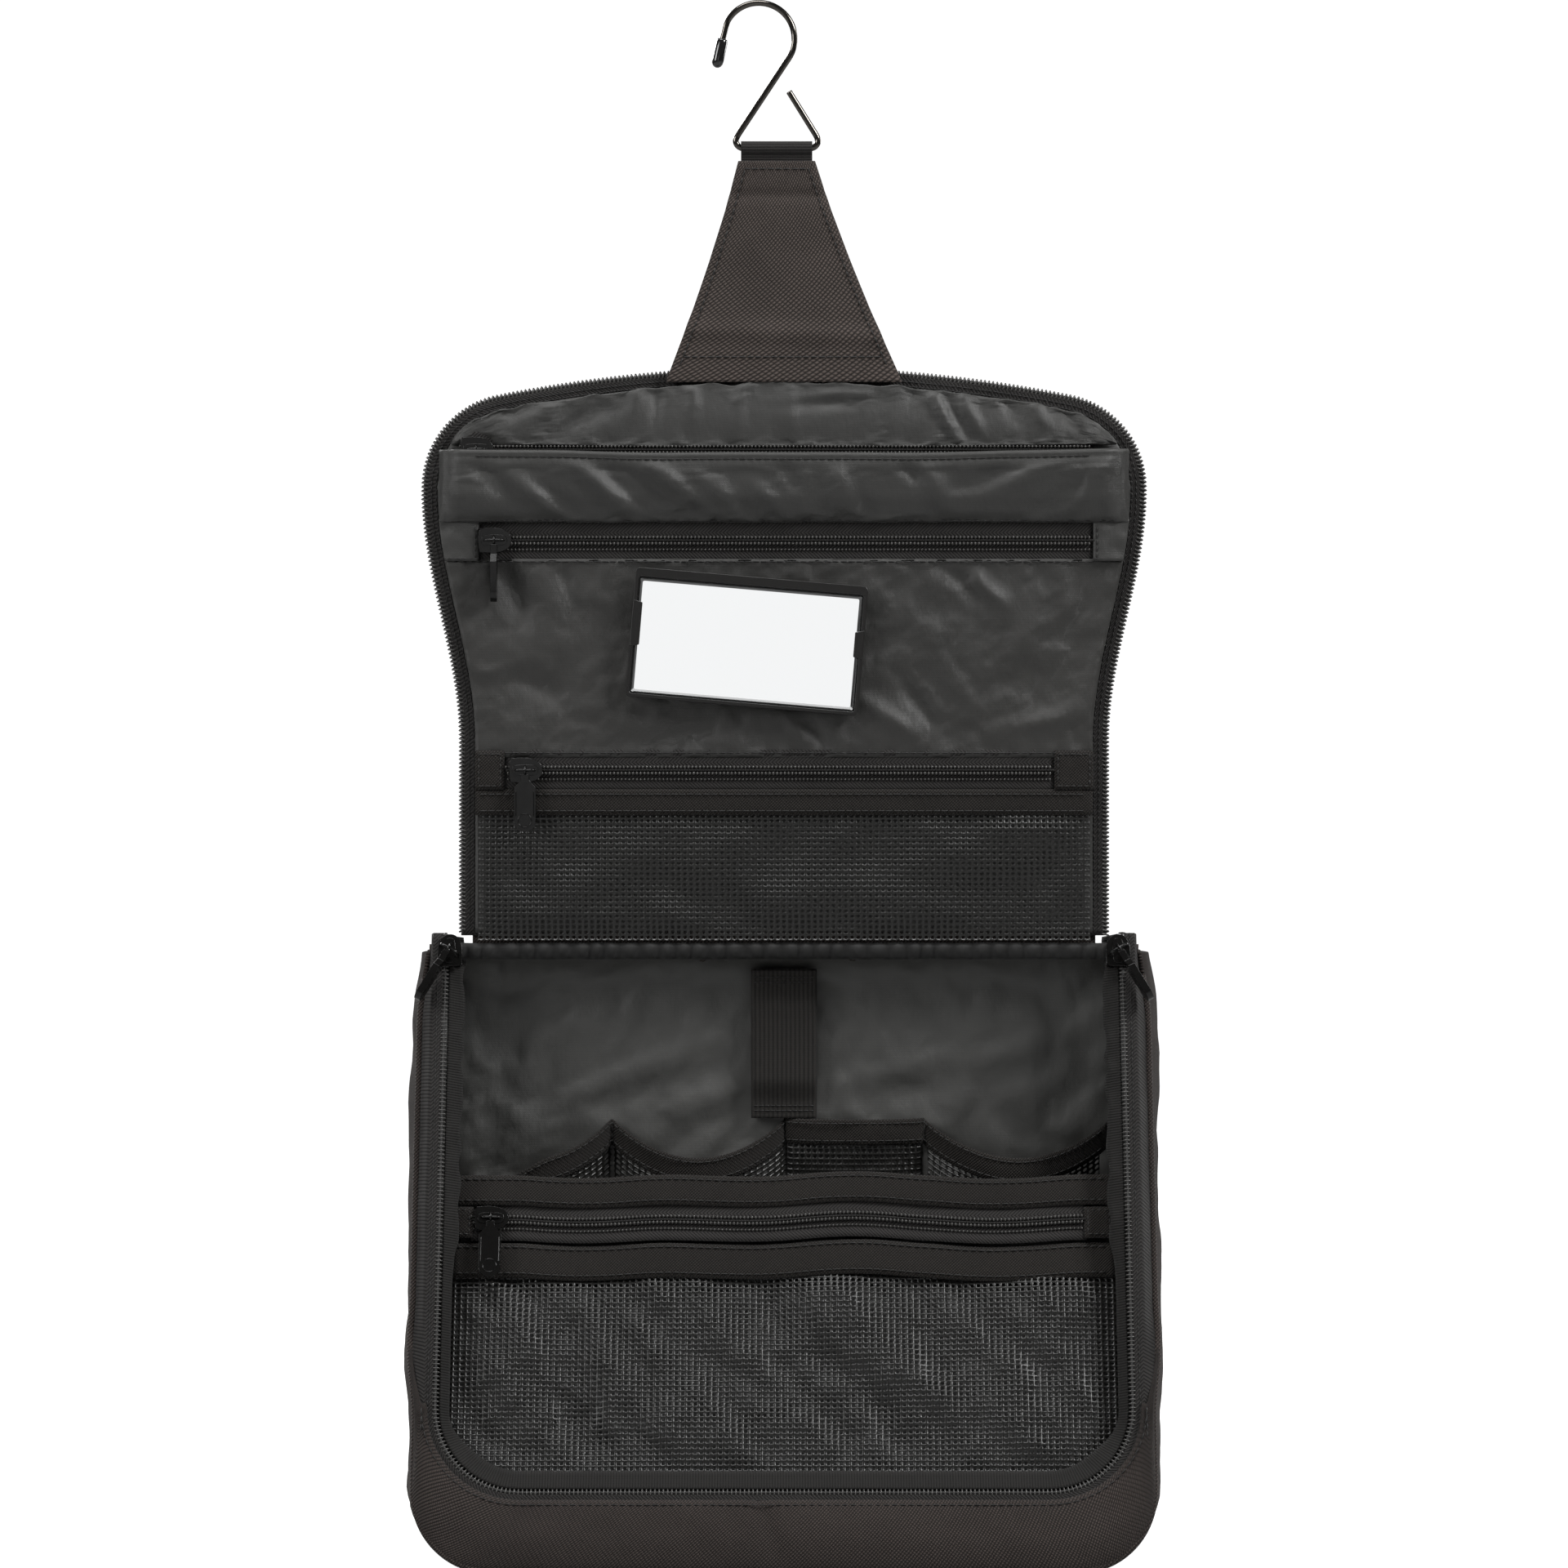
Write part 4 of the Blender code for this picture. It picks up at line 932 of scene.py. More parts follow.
def build_border():
    top = -(HEIGHT - 80 * MM) / math.cos(RAKE)
    foot = -(HEIGHT - 0.8 * MM) / math.cos(RAKE)
    coil_side = border_path(2.8 * MM, 2.8 * MM, top, -RIM_REACH - 2.8 * MM)
    outer = border_path(9.0 * MM, -4 * MM, top, foot)
    seam = np.array([gusset_point(1.0, s, CLOTH * 0.6) for s in spread(0.012, 0.988, 900)])
    inner, gathered, joined = [], [], []
    for (ax, ay), (bx, by) in zip(coil_side, outer):
        z = HEIGHT + by * math.cos(RAKE)
        sewn = seam[np.argmin((seam[:, 0] - bx) ** 2 + (seam[:, 2] - z) ** 2)]
        opened = 0.04 + 0.96 * smoothstep((top - ay) / (30 * MM))
        inner.append((sewn[0] + (ax - sewn[0]) * opened, by + (ay - by) * opened))
        gathered.append(1.0 - opened)
        joined.append(sewn)
    grid = []
    for w in spread(0.0, 1.0, 15):
        row = []
        for (ax, ay), (bx, by), sewn, tucked in zip(inner, outer, joined, gathered):
            x, y = ax + (sewn[0] - ax) * w, ay + (by - ay) * w
            wide = smoothstep((-y - RIM_REACH + 30 * MM) / (30 * MM))
            swell = math.sin(math.pi * w) ** 0.6 * (0.5 + 0.9 * wide) * MM
            crease = -1.1 * MM * wide * math.exp(-(((x + 5 * MM + (y + 200 * MM) * 0.4) / (3.2 * MM)) ** 2))
            soft = ripple(x, y, 19 * MM, 7.0) * 0.9 * MM * wide * math.sin(math.pi * w)
            flat = rim_point(x, y, 0.9 * MM + swell + crease + soft)
            row.append(flat + (sewn - flat) * max(smoothstep((w - 0.55) / 0.45), tucked))
        grid.append(row)
    border = surface("front_border_cloth", grid, MAT["outer"], CLOTH * 0.8)
    attach(border, "body", "front_border")
    welt = tube("front_welt", smooth_path(seam[::3]), 1.25 * MM, MAT["outer"], 8)
    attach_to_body(welt, "body")
    line = border_path(4.4 * MM, 4.4 * MM, top - 40 * MM, -RIM_REACH - 4.4 * MM)
    path = [rim_point(x, y, 2.2 * MM) for x, y in line]
    stitches("border_stitches", [path], rim_normal(), "body")


def rim_normal():
    return rim_point(0, 0, 1.0) - rim_point(0, 0, 0.0)


def rim_track():
    """The U round the rim: flat points with their outward directions, in the rim plane."""
    pts = resample(both_sides(rim_half(0.0, 4 * MM)), step=0.7 * MM)
    return pts, outward_from(pts)


def on_rim(points):
    return np.array([rim_point(x, y, 0.0) for x, y in points])


def build_rim():
    pts, outward = rim_track()
    centre = on_rim(pts)
    side = on_rim(outward) - rim_point(0, 0, 0)
    along = directions(centre)
    rungs = beads(centre[::2], along[::2], side[::2], rim_normal(), np.array((0.36, 1.5, 0.75)) * MM)
    coil = solid_object("body_coil", rungs, MAT["coil"])
    cord = tube_data(centre, 0.55 * MM, 6)
    core = solid_object("body_coil_cord", [cord], MAT["thread"])
    for piece in (coil, core):
        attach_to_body(piece, "body")
    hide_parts("body_zip_coil")
    grid = []
    for (x, y), (dx, dy) in zip(pts[::3], outward[::3]):
        z = HEIGHT + y * math.cos(RAKE)
        edge, depth = tape_edge(max(z, 2 * MM))
        tail = edge - RIM_HALF
        row = []
        for k, s in enumerate((0.6, 1.6, 2.6, 3.3, 4.0)):
            wave = ripple(x, y, 16 * MM, 2.0) * 0.35 * MM * (k / 4)
            row.append(rim_point(x + dx * s * MM, y + dy * s * MM, wave - 0.1 * MM))
        for k in spread(0.25, 1.0, 4):
            s = TAPE_FLAT + (tail - TAPE_FLAT) * k
            wave = ripple(x, y, 16 * MM, 2.0) * 0.5 * MM
            row.append(rim_point(x + dx * s, y + dy * s, wave - depth * k - 0.1 * MM))
        grid.append(row)
    grid = np.array(grid)
    tape = surface("body_tape", np.transpose(grid, (1, 0, 2)), MAT["tape"], 0.6 * MM)
    attach(tape, "body", "body_zip_tape")
    line = [rim_point(x, y, 0.3 * MM) for x, y in pts + outward * (2.5 * MM)]
    stitches("body_tape_stitches", [line], rim_normal(), "body",
             pitch=2.1 * MM, length=1.6 * MM, radius=0.18 * MM)
    build_binding(pts, outward)


def build_binding(pts, outward):
    """The ribbon that binds the raw edges inside the zip, ruffled above the net wall and tucked under it."""
    grid = []
    for (x, y), (dx, dy) in zip(pts[::2], outward[::2]):
        above = smoothstep((HEIGHT + y * math.cos(RAKE) - 92 * MM) / (20 * MM))
        base = smoothstep((-RIM_REACH + 26 * MM - y) / (20 * MM))
        reach = 2.9 + 1.9 * above + 3.6 * base
        ruffle = math.sin(y / (2.6 * MM) + 3.0 * ripple(x, y, 18 * MM, 6.0)) * above
        row = []
        for far in (0.0, 0.15, 0.4, 0.7, 1.0):
            s_wave = -1.3 - reach * far + 0.45 * ruffle * far
            out_wave = -1.0 - 3.0 * far + 0.8 * ruffle * far + 0.3 * ripple(x, y, 8 * MM, 3.0)
            row.append(rim_point(x + dx * s_wave * MM, y + dy * s_wave * MM, out_wave * MM))
        grid.append(row)
    grid = np.transpose(np.array(grid), (1, 0, 2))
    ribbon = surface("rim_ribbon", grid, MAT["binding"], 0.8 * MM)
    attach(ribbon, "body", "rim_binding")


# ---------------------------------------------------------------- nets and ribbons


NET_CELL = (2.1 * MM, 1.8 * MM)


def net(name, place, x_low, x_high, low, high, wave, body):
    """A woven net: square holes between glossy strands that cross over and under, on a wavy surface."""
    wide, tall = NET_CELL
    hole_x, hole_y = wide * 0.30, tall * 0.29
    cut = 0.45
    hole = [(1, cut), (cut, 1), (-cut, 1), (-1, cut), (-1, -cut), (-cut, -1), (cut, -1), (1, -cut)]
    rim = [(1, 0), (1, 1), (0, 1), (-1, 1), (-1, 0), (-1, -1), (0, -1), (1, -1)]
    keys, verts, uvs, faces = {}, [], [], []

    def crest(i, j):
        """A point of the strands' centre lines, in half cells; the crossings stand proud in turn."""
        if (i, j) not in keys:
            keys[(i, j)] = len(verts)
            x, y = i * wide / 2, low + j * tall / 2
            crossing = i % 2 and j % 2
            rise = 0.16 if crossing else 0.0
            if not crossing and (i // 2 + j // 2) % 2:
                rise = 0.10
            verts.append(place(x, y, wave(x, y) + rise * MM))
            uvs.append((x, y))
        return keys[(i, j)]

    for row in range(int((high - low) / tall)):
        cy = low + tall * (row + 0.5)
        left, right = x_low(cy), x_high(cy)
        for col in range(int(left / wide) - 1, int(right / wide) + 2):
            cx = col * wide
            if cx - wide / 2 < left or cx + wide / 2 > right:
                continue
            a = [crest(2 * col + dx, 2 * row + 1 + dy) for dx, dy in rim]
            b = []
            for dx, dy in hole:
                x, y = cx + dx * hole_x, cy + dy * hole_y
                b.append(len(verts))
                verts.append(place(x, y, wave(x, y) - 0.28 * MM))
                uvs.append((x, y))
            for k in range(8):
                faces.append((a[k], a[(k + 1) % 8], b[k], b[k - 1]))
    obj = mesh_from(name, verts, faces, uvs)
    obj.data.materials.append(MAT["net"])
    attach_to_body(obj, body)
    return obj


def band(name, place, x_low, x_high, low, high, out, body, node, wave, rows=9, cols=120, thickness=0.9 * MM):
    """A grosgrain ribbon across a frame, with its long edges rounded over."""
    grid = []
    for w in spread(0.0, 1.0, rows):
        up = low + (high - low) * w
        rounded = 0.45 * MM * (1 - math.sin(math.pi * w) ** 0.35)
        grid.append([place(x, up, out + wave(x, up) - rounded) for x in spread(x_low, x_high, cols)])
    attach(surface(name, grid, MAT["grosgrain"], thickness), body, node)


# ---------------------------------------------------------------- zips


def axes_of(place):
    zero = place(0.0, 0.0, 0.0)
    return place(0.0, 1.0, 0.0) - zero, place(0.0, 0.0, 1.0) - zero


# Rows of teeth in a pocket zip, in millimetres: place along the tape's width, height above it and tooth size.
# Two rows interlock at the chain, and the third is a smaller ridge below it.
TOOTH_ROWS = (
    (1.05, 1.35, (0.38, 0.62, 0.6)),
    (-1.05, 1.35, (0.38, 0.62, 0.6)),
    (-3.1, 0.75, (0.32, 0.42, 0.35)))
HALF_TAPE = 7 * MM


def pocket_zip(name, place, spec, layer, body):
    """A closed pocket zip: woven tape with two interlocked rows of nylon coil."""
    height, x_low, x_high = spec
    up, normal = axes_of(place)
    xs = spread(x_low, x_high, 150)
    grid = [[place(x, height + v, layer) for x in xs] for v in spread(-HALF_TAPE, HALF_TAPE, 9)]
    tape = surface(name + "_tape", grid, MAT["tape"], 0.5 * MM)
    attach(tape, body, name + "_zip_upper", name + "_zip_lower")
    teeth, core = [], []
    for offset, lift, size in TOOTH_ROWS:
        start = 0.5 * COIL_PITCH if offset < 0 else 0.0
        line = [place(x, height + offset * MM, layer + lift * MM)
                for x in spread(x_low + start, x_high - COIL_PITCH, 120)]
        line = resample(line, step=0.92 * COIL_PITCH)
        side = np.broadcast_to(up, line.shape)
        teeth += beads(line, directions(line), side, normal, np.array(size) * MM)
        core.append(tube_data(resample(line - normal * 0.35 * MM, 120), size[1] * 0.8 * MM, 6))
    core.append(tube_data([place(x, height, layer + 0.9 * MM) for x in xs], 0.8 * MM, 8, 0.5))
    attach(solid_object(name + "_coil", teeth, MAT["coil"]), body)
    attach(solid_object(name + "_coil_cords", core, MAT["binding"]), body)


def rounded_outline(points, passes):
    """Chaikin corner cutting of a closed outline."""
    pts = [np.array(p, dtype=float) for p in points]
    for _ in range(passes):
        cut = []
        for a, b in zip(pts, pts[1:] + pts[:1]):
            cut += [a * 0.75 + b * 0.25, a * 0.25 + b * 0.75]
        pts = cut
    return [tuple(p) for p in pts]


def oriented(parts, origin, x_axis, y_axis, z_axis):
    """Moves parts from local axes to the world."""
    matrix = np.array([x_axis, y_axis, z_axis])
    return [(np.asarray(v) @ matrix + origin, f) for v, f in parts]


SLIDER_OUTLINE = rounded_outline(
    [(-5.4, -2.9), (-4.3, -4.2), (1.0, -4.25), (4.2, -3.3), (5.9, -1.3),
     (5.9, 1.3), (4.2, 3.3), (1.0, 4.25), (-4.3, 4.2), (-5.4, 2.9)], 2)


def slider_parts(bar_out, bar_turn=0.0, plates=(-0.6, 2.15)):
    """A slider over its chain, in millimetres: it slides along X, Y is across the chain and Z is out."""
    low, top = plates
    lower_plate = [(x * 0.96, y * 0.96) for x, y in SLIDER_OUTLINE]
    parts = [prism(SLIDER_OUTLINE, top, top + 0.95), prism(lower_plate, low - 0.8, low)]
    crown = rounded_outline([(-3.9, -1.9), (3.9, -1.9), (4.6, 0.0), (3.9, 1.9), (-3.9, 1.9), (-4.6, 0.0)], 2)
    parts.append(prism(crown, top + 0.9, top + 1.35))
    for sign in (1, -1):
        wing = [(-5.0, sign * 3.55), (1.2, sign * 3.75), (1.2, sign * 4.25), (-5.0, sign * 4.15)]
        parts.append(prism(wing if sign > 0 else wing[::-1], top - 0.75, top + 0.3))
    post = rounded_outline([(3.6, -0.9), (5.2, -0.7), (5.2, 0.7), (3.6, 0.9)], 1)
    parts.append(prism(post, low, top))
    c, s = math.cos(bar_turn), math.sin(bar_turn)
    arch = [(-3.5, top + 0.6), (-3.4, bar_out - 0.9), (-2.6, bar_out - 0.15), (-1.4, bar_out), (1.4, bar_out),
            (2.6, bar_out - 0.15), (3.4, bar_out - 0.9), (3.5, top + 0.6)]
    path = smooth_path(resample([(u * c, u * s, z) for u, z in arch], 25), 2)
    parts.append(tube_data(path, 0.46, 10))
    return parts


def puller_parts(half=3.7, length=21.0, neck=1.4, shoulder=4.6, edge_on=False):
    """A puller in millimetres, hanging along -Y from a bar along X: a ring, a tapered plate and a boss."""
    turns = np.linspace(0, math.tau, 33)
    ring = np.stack([np.zeros(len(turns)), 1.35 * np.cos(turns), 1.35 * np.sin(turns)], axis=1)
    loop = tube_data(ring, 0.4, 8, caps=False)
    angles = spread(-math.pi / 2, math.pi / 2, 15)
    end = [(half * math.sin(a), -length + half - half * math.cos(a)) for a in angles]
    outline = [(-neck, -1.5), (-neck, -shoulder + 1.2), (-half, -shoulder - 1.4)] + end
    outline += [(half, -shoulder - 1.4), (neck, -shoulder + 1.2), (neck, -1.5)]
    thick = 1.1 if edge_on else 0.5
    plate = prism(outline, -thick, thick)
    boss_y = -length + half + 0.2
    extra = []
    for sign in (1, -1):
        circle = np.stack([2.25 * np.cos(turns) * half / 3.7, boss_y + 2.25 * np.sin(turns) * half / 3.7,
                           np.full(len(turns), sign * 0.5)], axis=1)
        extra.append(tube_data(circle, 0.22, 6, caps=False))
        for x in (0.7 - half, half - 0.7):
            rail = [(x, -shoulder - 2.6, sign * 0.5), (x, -length + half + 1.6, sign * 0.5)]
            extra.append(tube_data(resample(rail, 6), 0.2, 6))
    flat = [plate] + extra
    if edge_on:
        flat = oriented(flat, np.zeros(3), (0, 0, 1), (0, 1, 0), (-1, 0, 0))
    return [loop] + flat


def metal_piece(name, parts, origin, axes, body):
    """A metal part made in millimetres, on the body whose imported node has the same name."""
    world = oriented([(np.asarray(v) * MM, f) for v, f in parts], origin, *axes)
    attach(bevelled(name, world, MAT["metal"], 0.22 * MM, 2), body, body)


def fit_slider(name, place, lean=0.0, **shape):
    """The slider and puller of a pocket zip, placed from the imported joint; the puller may lean outwards."""
    up, normal = axes_of(place)
    across = np.array([1.0, 0.0, 0.0])
    bar = np.array(JOINTS[name + "_puller_swing"]["pos_m"])
    bar_out = 4.3
    origin = bar - normal * bar_out * MM
    metal_piece(name + "_slider_body", slider_parts(bar_out), origin, (across, up, normal), name + "_slider")
    c, s = math.cos(lean), math.sin(lean)
    axes = (across, up * c + normal * s, normal * c - up * s)
    metal_piece(name + "_pull_tab", puller_parts(**shape), bar, axes, name + "_puller")


def build_main_sliders():
    """The two sliders of the main zip and their pullers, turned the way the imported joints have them."""
    normal = rim_normal()
    up, across = np.array(RIM_UP), np.array([-1.0, 0.0, 0.0])
    bar_out = 5.9
    for side in ("right", "left"):
        joint = JOINTS["main_puller_swing_" + side]
        bar, axis = np.array(joint["pos_m"]), np.array(joint["axis"])
        bar_turn = math.atan2(np.dot(axis, across), np.dot(axis, up))
        parts = slider_parts(bar_out, bar_turn, plates=(-1.4, 1.45))
        metal_piece("main_slider_body_" + side, parts, bar - normal * bar_out * MM, (up, across, normal),
                    "main_slider_" + side)
        parts = puller_parts(half=3.2, neck=1.1, shoulder=6.5, edge_on=True)
        metal_piece("main_pull_tab_" + side, parts, bar, (axis, np.cross(normal, axis), normal),
                    "main_puller_" + side)


# ---------------------------------------------------------------- inside the body


def build_strap():
    """The ribbed elastic on the back wall, sewn flat at both ends and standing off between them."""
    low, high, foot = 143 * MM, 194 * MM, 5 * MM
    face = BACK_Y - CLOTH - 1.2 * MM - 0.4 * MM
    grid = []
    for k in spread(0.0, 1.0, 60):
        z = low + (high - low) * k
        free = smoothstep((z - low - foot) / (9 * MM)) * smoothstep((high - foot - z) / (9 * MM))
        roll = TOP_RADIUS - CLOTH - 1.6 * MM
        over = max(0.0, z - (HEIGHT - TOP_RADIUS))
        y = face if over <= 0 else BACK_Y - TOP_RADIUS + math.sqrt(max(0.0, roll**2 - over**2))
        y -= 4.0 * MM + 2.0 * MM * free
        row = []
        for c in spread(-1.0, 1.0, 19):
            puff = 0.5 * MM * (1 - c * c) * free + 0.35 * MM * (1 - abs(c) ** 6)
            row.append((c * 11.2 * MM, y - puff, z))
        grid.append(row)
    strap = surface("strap_ribbon", grid, MAT["elastic"], 1.1 * MM)
    attach(strap, "body", "elastic_strap")
    rows = []
    for z in (low + 2.4 * MM, low + 4.6 * MM, high - 4.6 * MM, high - 2.4 * MM):
        at = grid[int(round((z - low) / (high - low) * 59))]
        rows.append([(p[0] * 0.92, p[1] - 0.62 * MM, p[2]) for p in at])
    stitches("strap_stitches", rows, (0, -1, 0), "body", pitch=1.9 * MM, length=1.5 * MM)


def holder_share(x):
    """0 on a seam of the bottle net and 1 in the middle of a loop."""
    for left, right in zip(HOLDER_SEAMS, HOLDER_SEAMS[1:]):
        if left <= x <= right:
            t = (x - left) / (right - left)
            narrow = right - left < 50 * MM
            return math.sin(math.pi * t) ** (0.35 if narrow else 0.8)
    return 0.0


def holder_point(x, z, out):
    """The bottle net's frame: four loops that stand off the wall and droop between their seams."""
    share = holder_share(x)
    up = smoothstep((z - HOLDER_LOW) / (60 * MM))
    narrow = HOLDER_SEAMS[2] < x < HOLDER_SEAMS[3]
    bulge = (5 * MM if narrow else 15 * MM) * share * (0.75 + 0.25 * up) + 0.5 * MM
    seam_lift_here = -15 * MM + 19.5 * MM * smoothstep((x - HOLDER_SEAMS[0]) / (34 * MM))
    droop = (0.5 * MM if narrow else 13 * MM) * share
    lift = (seam_lift_here - droop) * smoothstep((z - HOLDER_LOW) / (70 * MM))
    return np.array([x, BACK_Y - 3.9 * MM - bulge - out, z + lift])


def build_holder():
    def wave(x, z):
        return ripple(x, z, 15 * MM, 12.0) * 1.2 * MM * smoothstep((HOLDER_TOP - z) / (8 * MM))

    mesh = net("bottle_mesh", holder_point, lambda h: -110 * MM, lambda h: 110 * MM,
               HOLDER_LOW, HOLDER_TOP - 3 * MM, wave, "body")
    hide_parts("bottle_net")
    band("bottle_ribbon", holder_point, -110.5 * MM, 110.5 * MM, HOLDER_TOP - 7 * MM, HOLDER_TOP + 1.5 * MM,
         0.6 * MM, "body", "bottle_net_ribbon", lambda x, z: ripple(x, z, 20 * MM, 14.0) * 0.8 * MM,
         rows=11, cols=260, thickness=1.0 * MM)
    heights = spread(HOLDER_TOP - 6 * MM, HOLDER_TOP + 1 * MM, 12)
    seams = [[holder_point(x, z, 1.6 * MM) for z in heights] for x in HOLDER_SEAMS[1:-1]]
    for z in (HOLDER_TOP - 5.6 * MM, HOLDER_TOP + 0.3 * MM):
        seams.append([holder_point(x, z, 1.5 * MM) for x in spread(-109 * MM, 109 * MM, 300)])
    stitches("bottle_stitches", seams, (0, -1, 0), "body")


def wall_edge(up):
    """Half width of the net wall at a height above its foot, with its rounded bottom corners."""
    drop = max(0.0, 24 * MM - up)
    return WALL_HALF - 24 * MM + math.sqrt(max(0.0, (24 * MM) ** 2 - drop**2))


def wall_wave(x, up):
    """The net wall hangs in soft folds, flat where it is sewn."""
    held = smoothstep((up - 2 * MM) / (16 * MM)) * smoothstep((78 * MM - up) / (14 * MM))
    held *= smoothstep((wall_edge(up) - abs(x)) / (16 * MM))
    folds = ripple(x + up * 0.5, up * 0.55, 22 * MM, 21.0) * 3.0 * MM
    folds += ripple(x * 1.2, up, 9 * MM, 23.0) * 0.6 * MM
    return folds * held + 0.8 * MM * held


def header_wave(x, up):
    return ripple(x, up * 0.4, 30 * MM, 25.0) * 0.7 * MM


def header_sag(x):
    """The zip and its ribbons wander up and down a little along the wall."""
    return ripple(x, 0.0, 48 * MM, 27.0, 1) * 2.6 * MM


def sagging(place, rise):
    def point(x, up, out):
        return place(x, up + rise(x), out)

    return point


wall_top = sagging(wall_point, lambda x: header_sag(x) * (1 - smoothstep((-80 * MM - x) / (14 * MM))))


def build_wall():
    rows, cols = 52, 101
    grid = []
    for up in spread(2.5 * MM, 105 * MM, rows):
        row = []
        for c in spread(-1.0, 1.0, cols):
            x = c * (wall_edge(up) - 0.5 * MM)
            row.append(wall_point(x, up, min(0.0, wall_wave(x, up)) - 2.4 * MM))
        grid.append(row)
    # The lining behind the net takes the darker satin copy: painted shade behind the wall net.
    lining = surface("wall_satin", grid, MAT["deep_satin"], LINING)
    drape(lining, rows, cols, 0.03, 1.0 * MM, 8, stiffness=8, bending=0.1)
    attach(lining, "body", "wall_lining")
    mesh = net("wall_mesh", wall_point, lambda h: -wall_edge(h) - 1 * MM, lambda h: wall_edge(h) + 1 * MM,
               1.0 * MM, 74 * MM, lambda x, up: wall_wave(x, up) + 0.4 * MM, "body")
    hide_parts("wall_net")
    band("wall_ribbon", wall_top, -111 * MM, 111 * MM, 70.8 * MM, 82.6 * MM, 1.7 * MM,
         "body", "wall_band", header_wave)
    band("wall_header_ribbon", wall_top, -111.5 * MM, 111.5 * MM, 95.6 * MM, 106 * MM, 3.6 * MM,
         "body", "wall_header", header_wave)
    seams = []
    for up, out in ((81.2, 2.3), (72.2, 2.3), (97.0, 4.2), (104.4, 4.2)):
        line = [(x, up * MM) for x in spread(-110 * MM, 110 * MM, 240)]
        seams.append([wall_top(x, h, out * MM + header_wave(x, h)) for x, h in line])
    stitches("wall_stitches", seams, axes_of(wall_point)[1], "body")
    pocket_zip("wall", wall_top, WALL_ZIP, WALL_LAYER, "body")
    spans = ((-111 * MM, -104.5 * MM), (100.9 * MM, 110.5 * MM))
    end_tabs("wall", wall_point, 84.2 * MM, 95 * MM, spans, 3.1 * MM, "body")


def end_tabs(name, place, low, high, spans, out, body):
    """The folded scraps that close the ends of a zip, each sewn round its edge."""
    normal = axes_of(place)[1]
    for (left, right), side in zip(spans, ("left", "right")):
        grid = []
        for w in spread(0.0, 1.0, 11):
            row = []
            for c in spread(0.0, 1.0, 13):
                edge = min(1.0, 6 * min(w, 1 - w, c, 1 - c))
                puff = 0.5 * MM * edge + ripple(c * 9 * MM, w * 9 * MM, 5 * MM, left * 900) * 0.3 * MM * edge
                row.append(place(left + (right - left) * c, low + (high - low) * w, out + puff))
            grid.append(row)
        tab = surface(name + "_end_" + side, grid, MAT["grosgrain"], 0.8 * MM)
        attach(tab, body, name + "_zip_tab_" + side)
        inset = 1.2 * MM
        a, b, c, d = left + inset, right - inset, low + inset, high - inset
        loop = resample([(a, c), (b, c), (b, d), (a, d), (a, c)], step=0.8 * MM)
        path = [place(x, up, out + 0.75 * MM) for x, up in loop]
        stitches(name + "_end_stitches_" + side, [path], normal, body, pitch=2.2 * MM, length=1.6 * MM)


# ---------------------------------------------------------------- lid


def lid_grid(inset, foot, out, rows, cols, swell=lambda c, r, x, h: 0.0):
    """A sheet over the whole lid; swell gives its height from its place in the grid and on the lid."""
    grid = []
    for r in spread(0.0, 1.0, rows):
        row = []
        for c in spread(-1.0, 1.0, cols):
            x, h = lid_cell(c, r, inset, foot)
            row.append(lid_point(x, h, out + swell(c, r, x, h)))
        grid.append(row)
    return grid


def build_lid_shell():
    rows, cols = 74, 91

    def swell(c, r, x, h):
        edge = min(1 - abs(c), 1 - r) * 9
        return -1.1 * MM * smoothstep(edge) - ripple(x, h, 30 * MM, 31.0) * 0.7 * MM * smoothstep(edge)

    grid = lid_grid(6.0 * MM, 3.0 * MM, -3.0 * MM, rows, cols, swell=swell)
    shell = surface("lid_cloth", grid, MAT["outer"], CLOTH, flip=True)
    attach(shell, "lid", "lid_shell")
    path = resample(both_sides(lid_half(6.4 * MM, 3 * MM)), step=2.0 * MM)
    welt = tube("lid_welt", [lid_point(x, h, -3.1 * MM) for x, h in path], 1.1 * MM, MAT["outer"], 8)
    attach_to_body(welt, "lid")


def build_lid_zip():
    path = resample(both_sides(lid_half(2.2 * MM, 3 * MM)), step=0.7 * MM)
    outward = outward_from(path)
    centre = np.array([lid_point(x, h, LID_TAPE_OUT) for x, h in path])
    side = np.stack([outward[:, 0], np.zeros(len(path)), outward[:, 1]], axis=1)
    normal = np.array([0.0, -1.0, 0.0])
    coil = solid_object("lid_coil", [helix(centre, side, normal, 1.15 * MM, 0.75 * MM)], MAT["coil"])
    cord = solid_object("lid_coil_cord", [tube_data(centre, 0.6 * MM, 6)], MAT["thread"])
    for piece in (coil, cord):
        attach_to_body(piece, "lid")
    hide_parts("lid_zip_coil")
    grid = []
    for inset in (2.6, 3.8, 5.0, 6.4, 8.4, 10.6):
        edge = resample(both_sides(lid_half(inset * MM, 3 * MM)), 260)
        row = []
        for x, h in edge:
            wave = ripple(x, h, 18 * MM, 33.0) * 0.4 * MM * min(1.0, inset / 8)
            row.append(lid_point(x, h, LID_TAPE_OUT + 0.25 * MM + wave))
        grid.append(row)
    tape = surface("lid_tape", grid, MAT["tape"], 0.6 * MM)
    attach(tape, "lid", "lid_zip_tape")
    lines = []
    for inset in (4.4, 6.0):
        edge = resample(both_sides(lid_half(inset * MM, 4 * MM)), step=0.8 * MM)
        lines.append([lid_point(x, h, LID_TAPE_OUT + 0.65 * MM) for x, h in edge])
    stitches("lid_tape_stitches", lines, (0, -1, 0), "lid", pitch=2.1 * MM, length=1.5 * MM, radius=0.17 * MM)


def edge_wave(x, h):
    return ripple(x, h, 14 * MM, 35.0) * 0.5 * MM


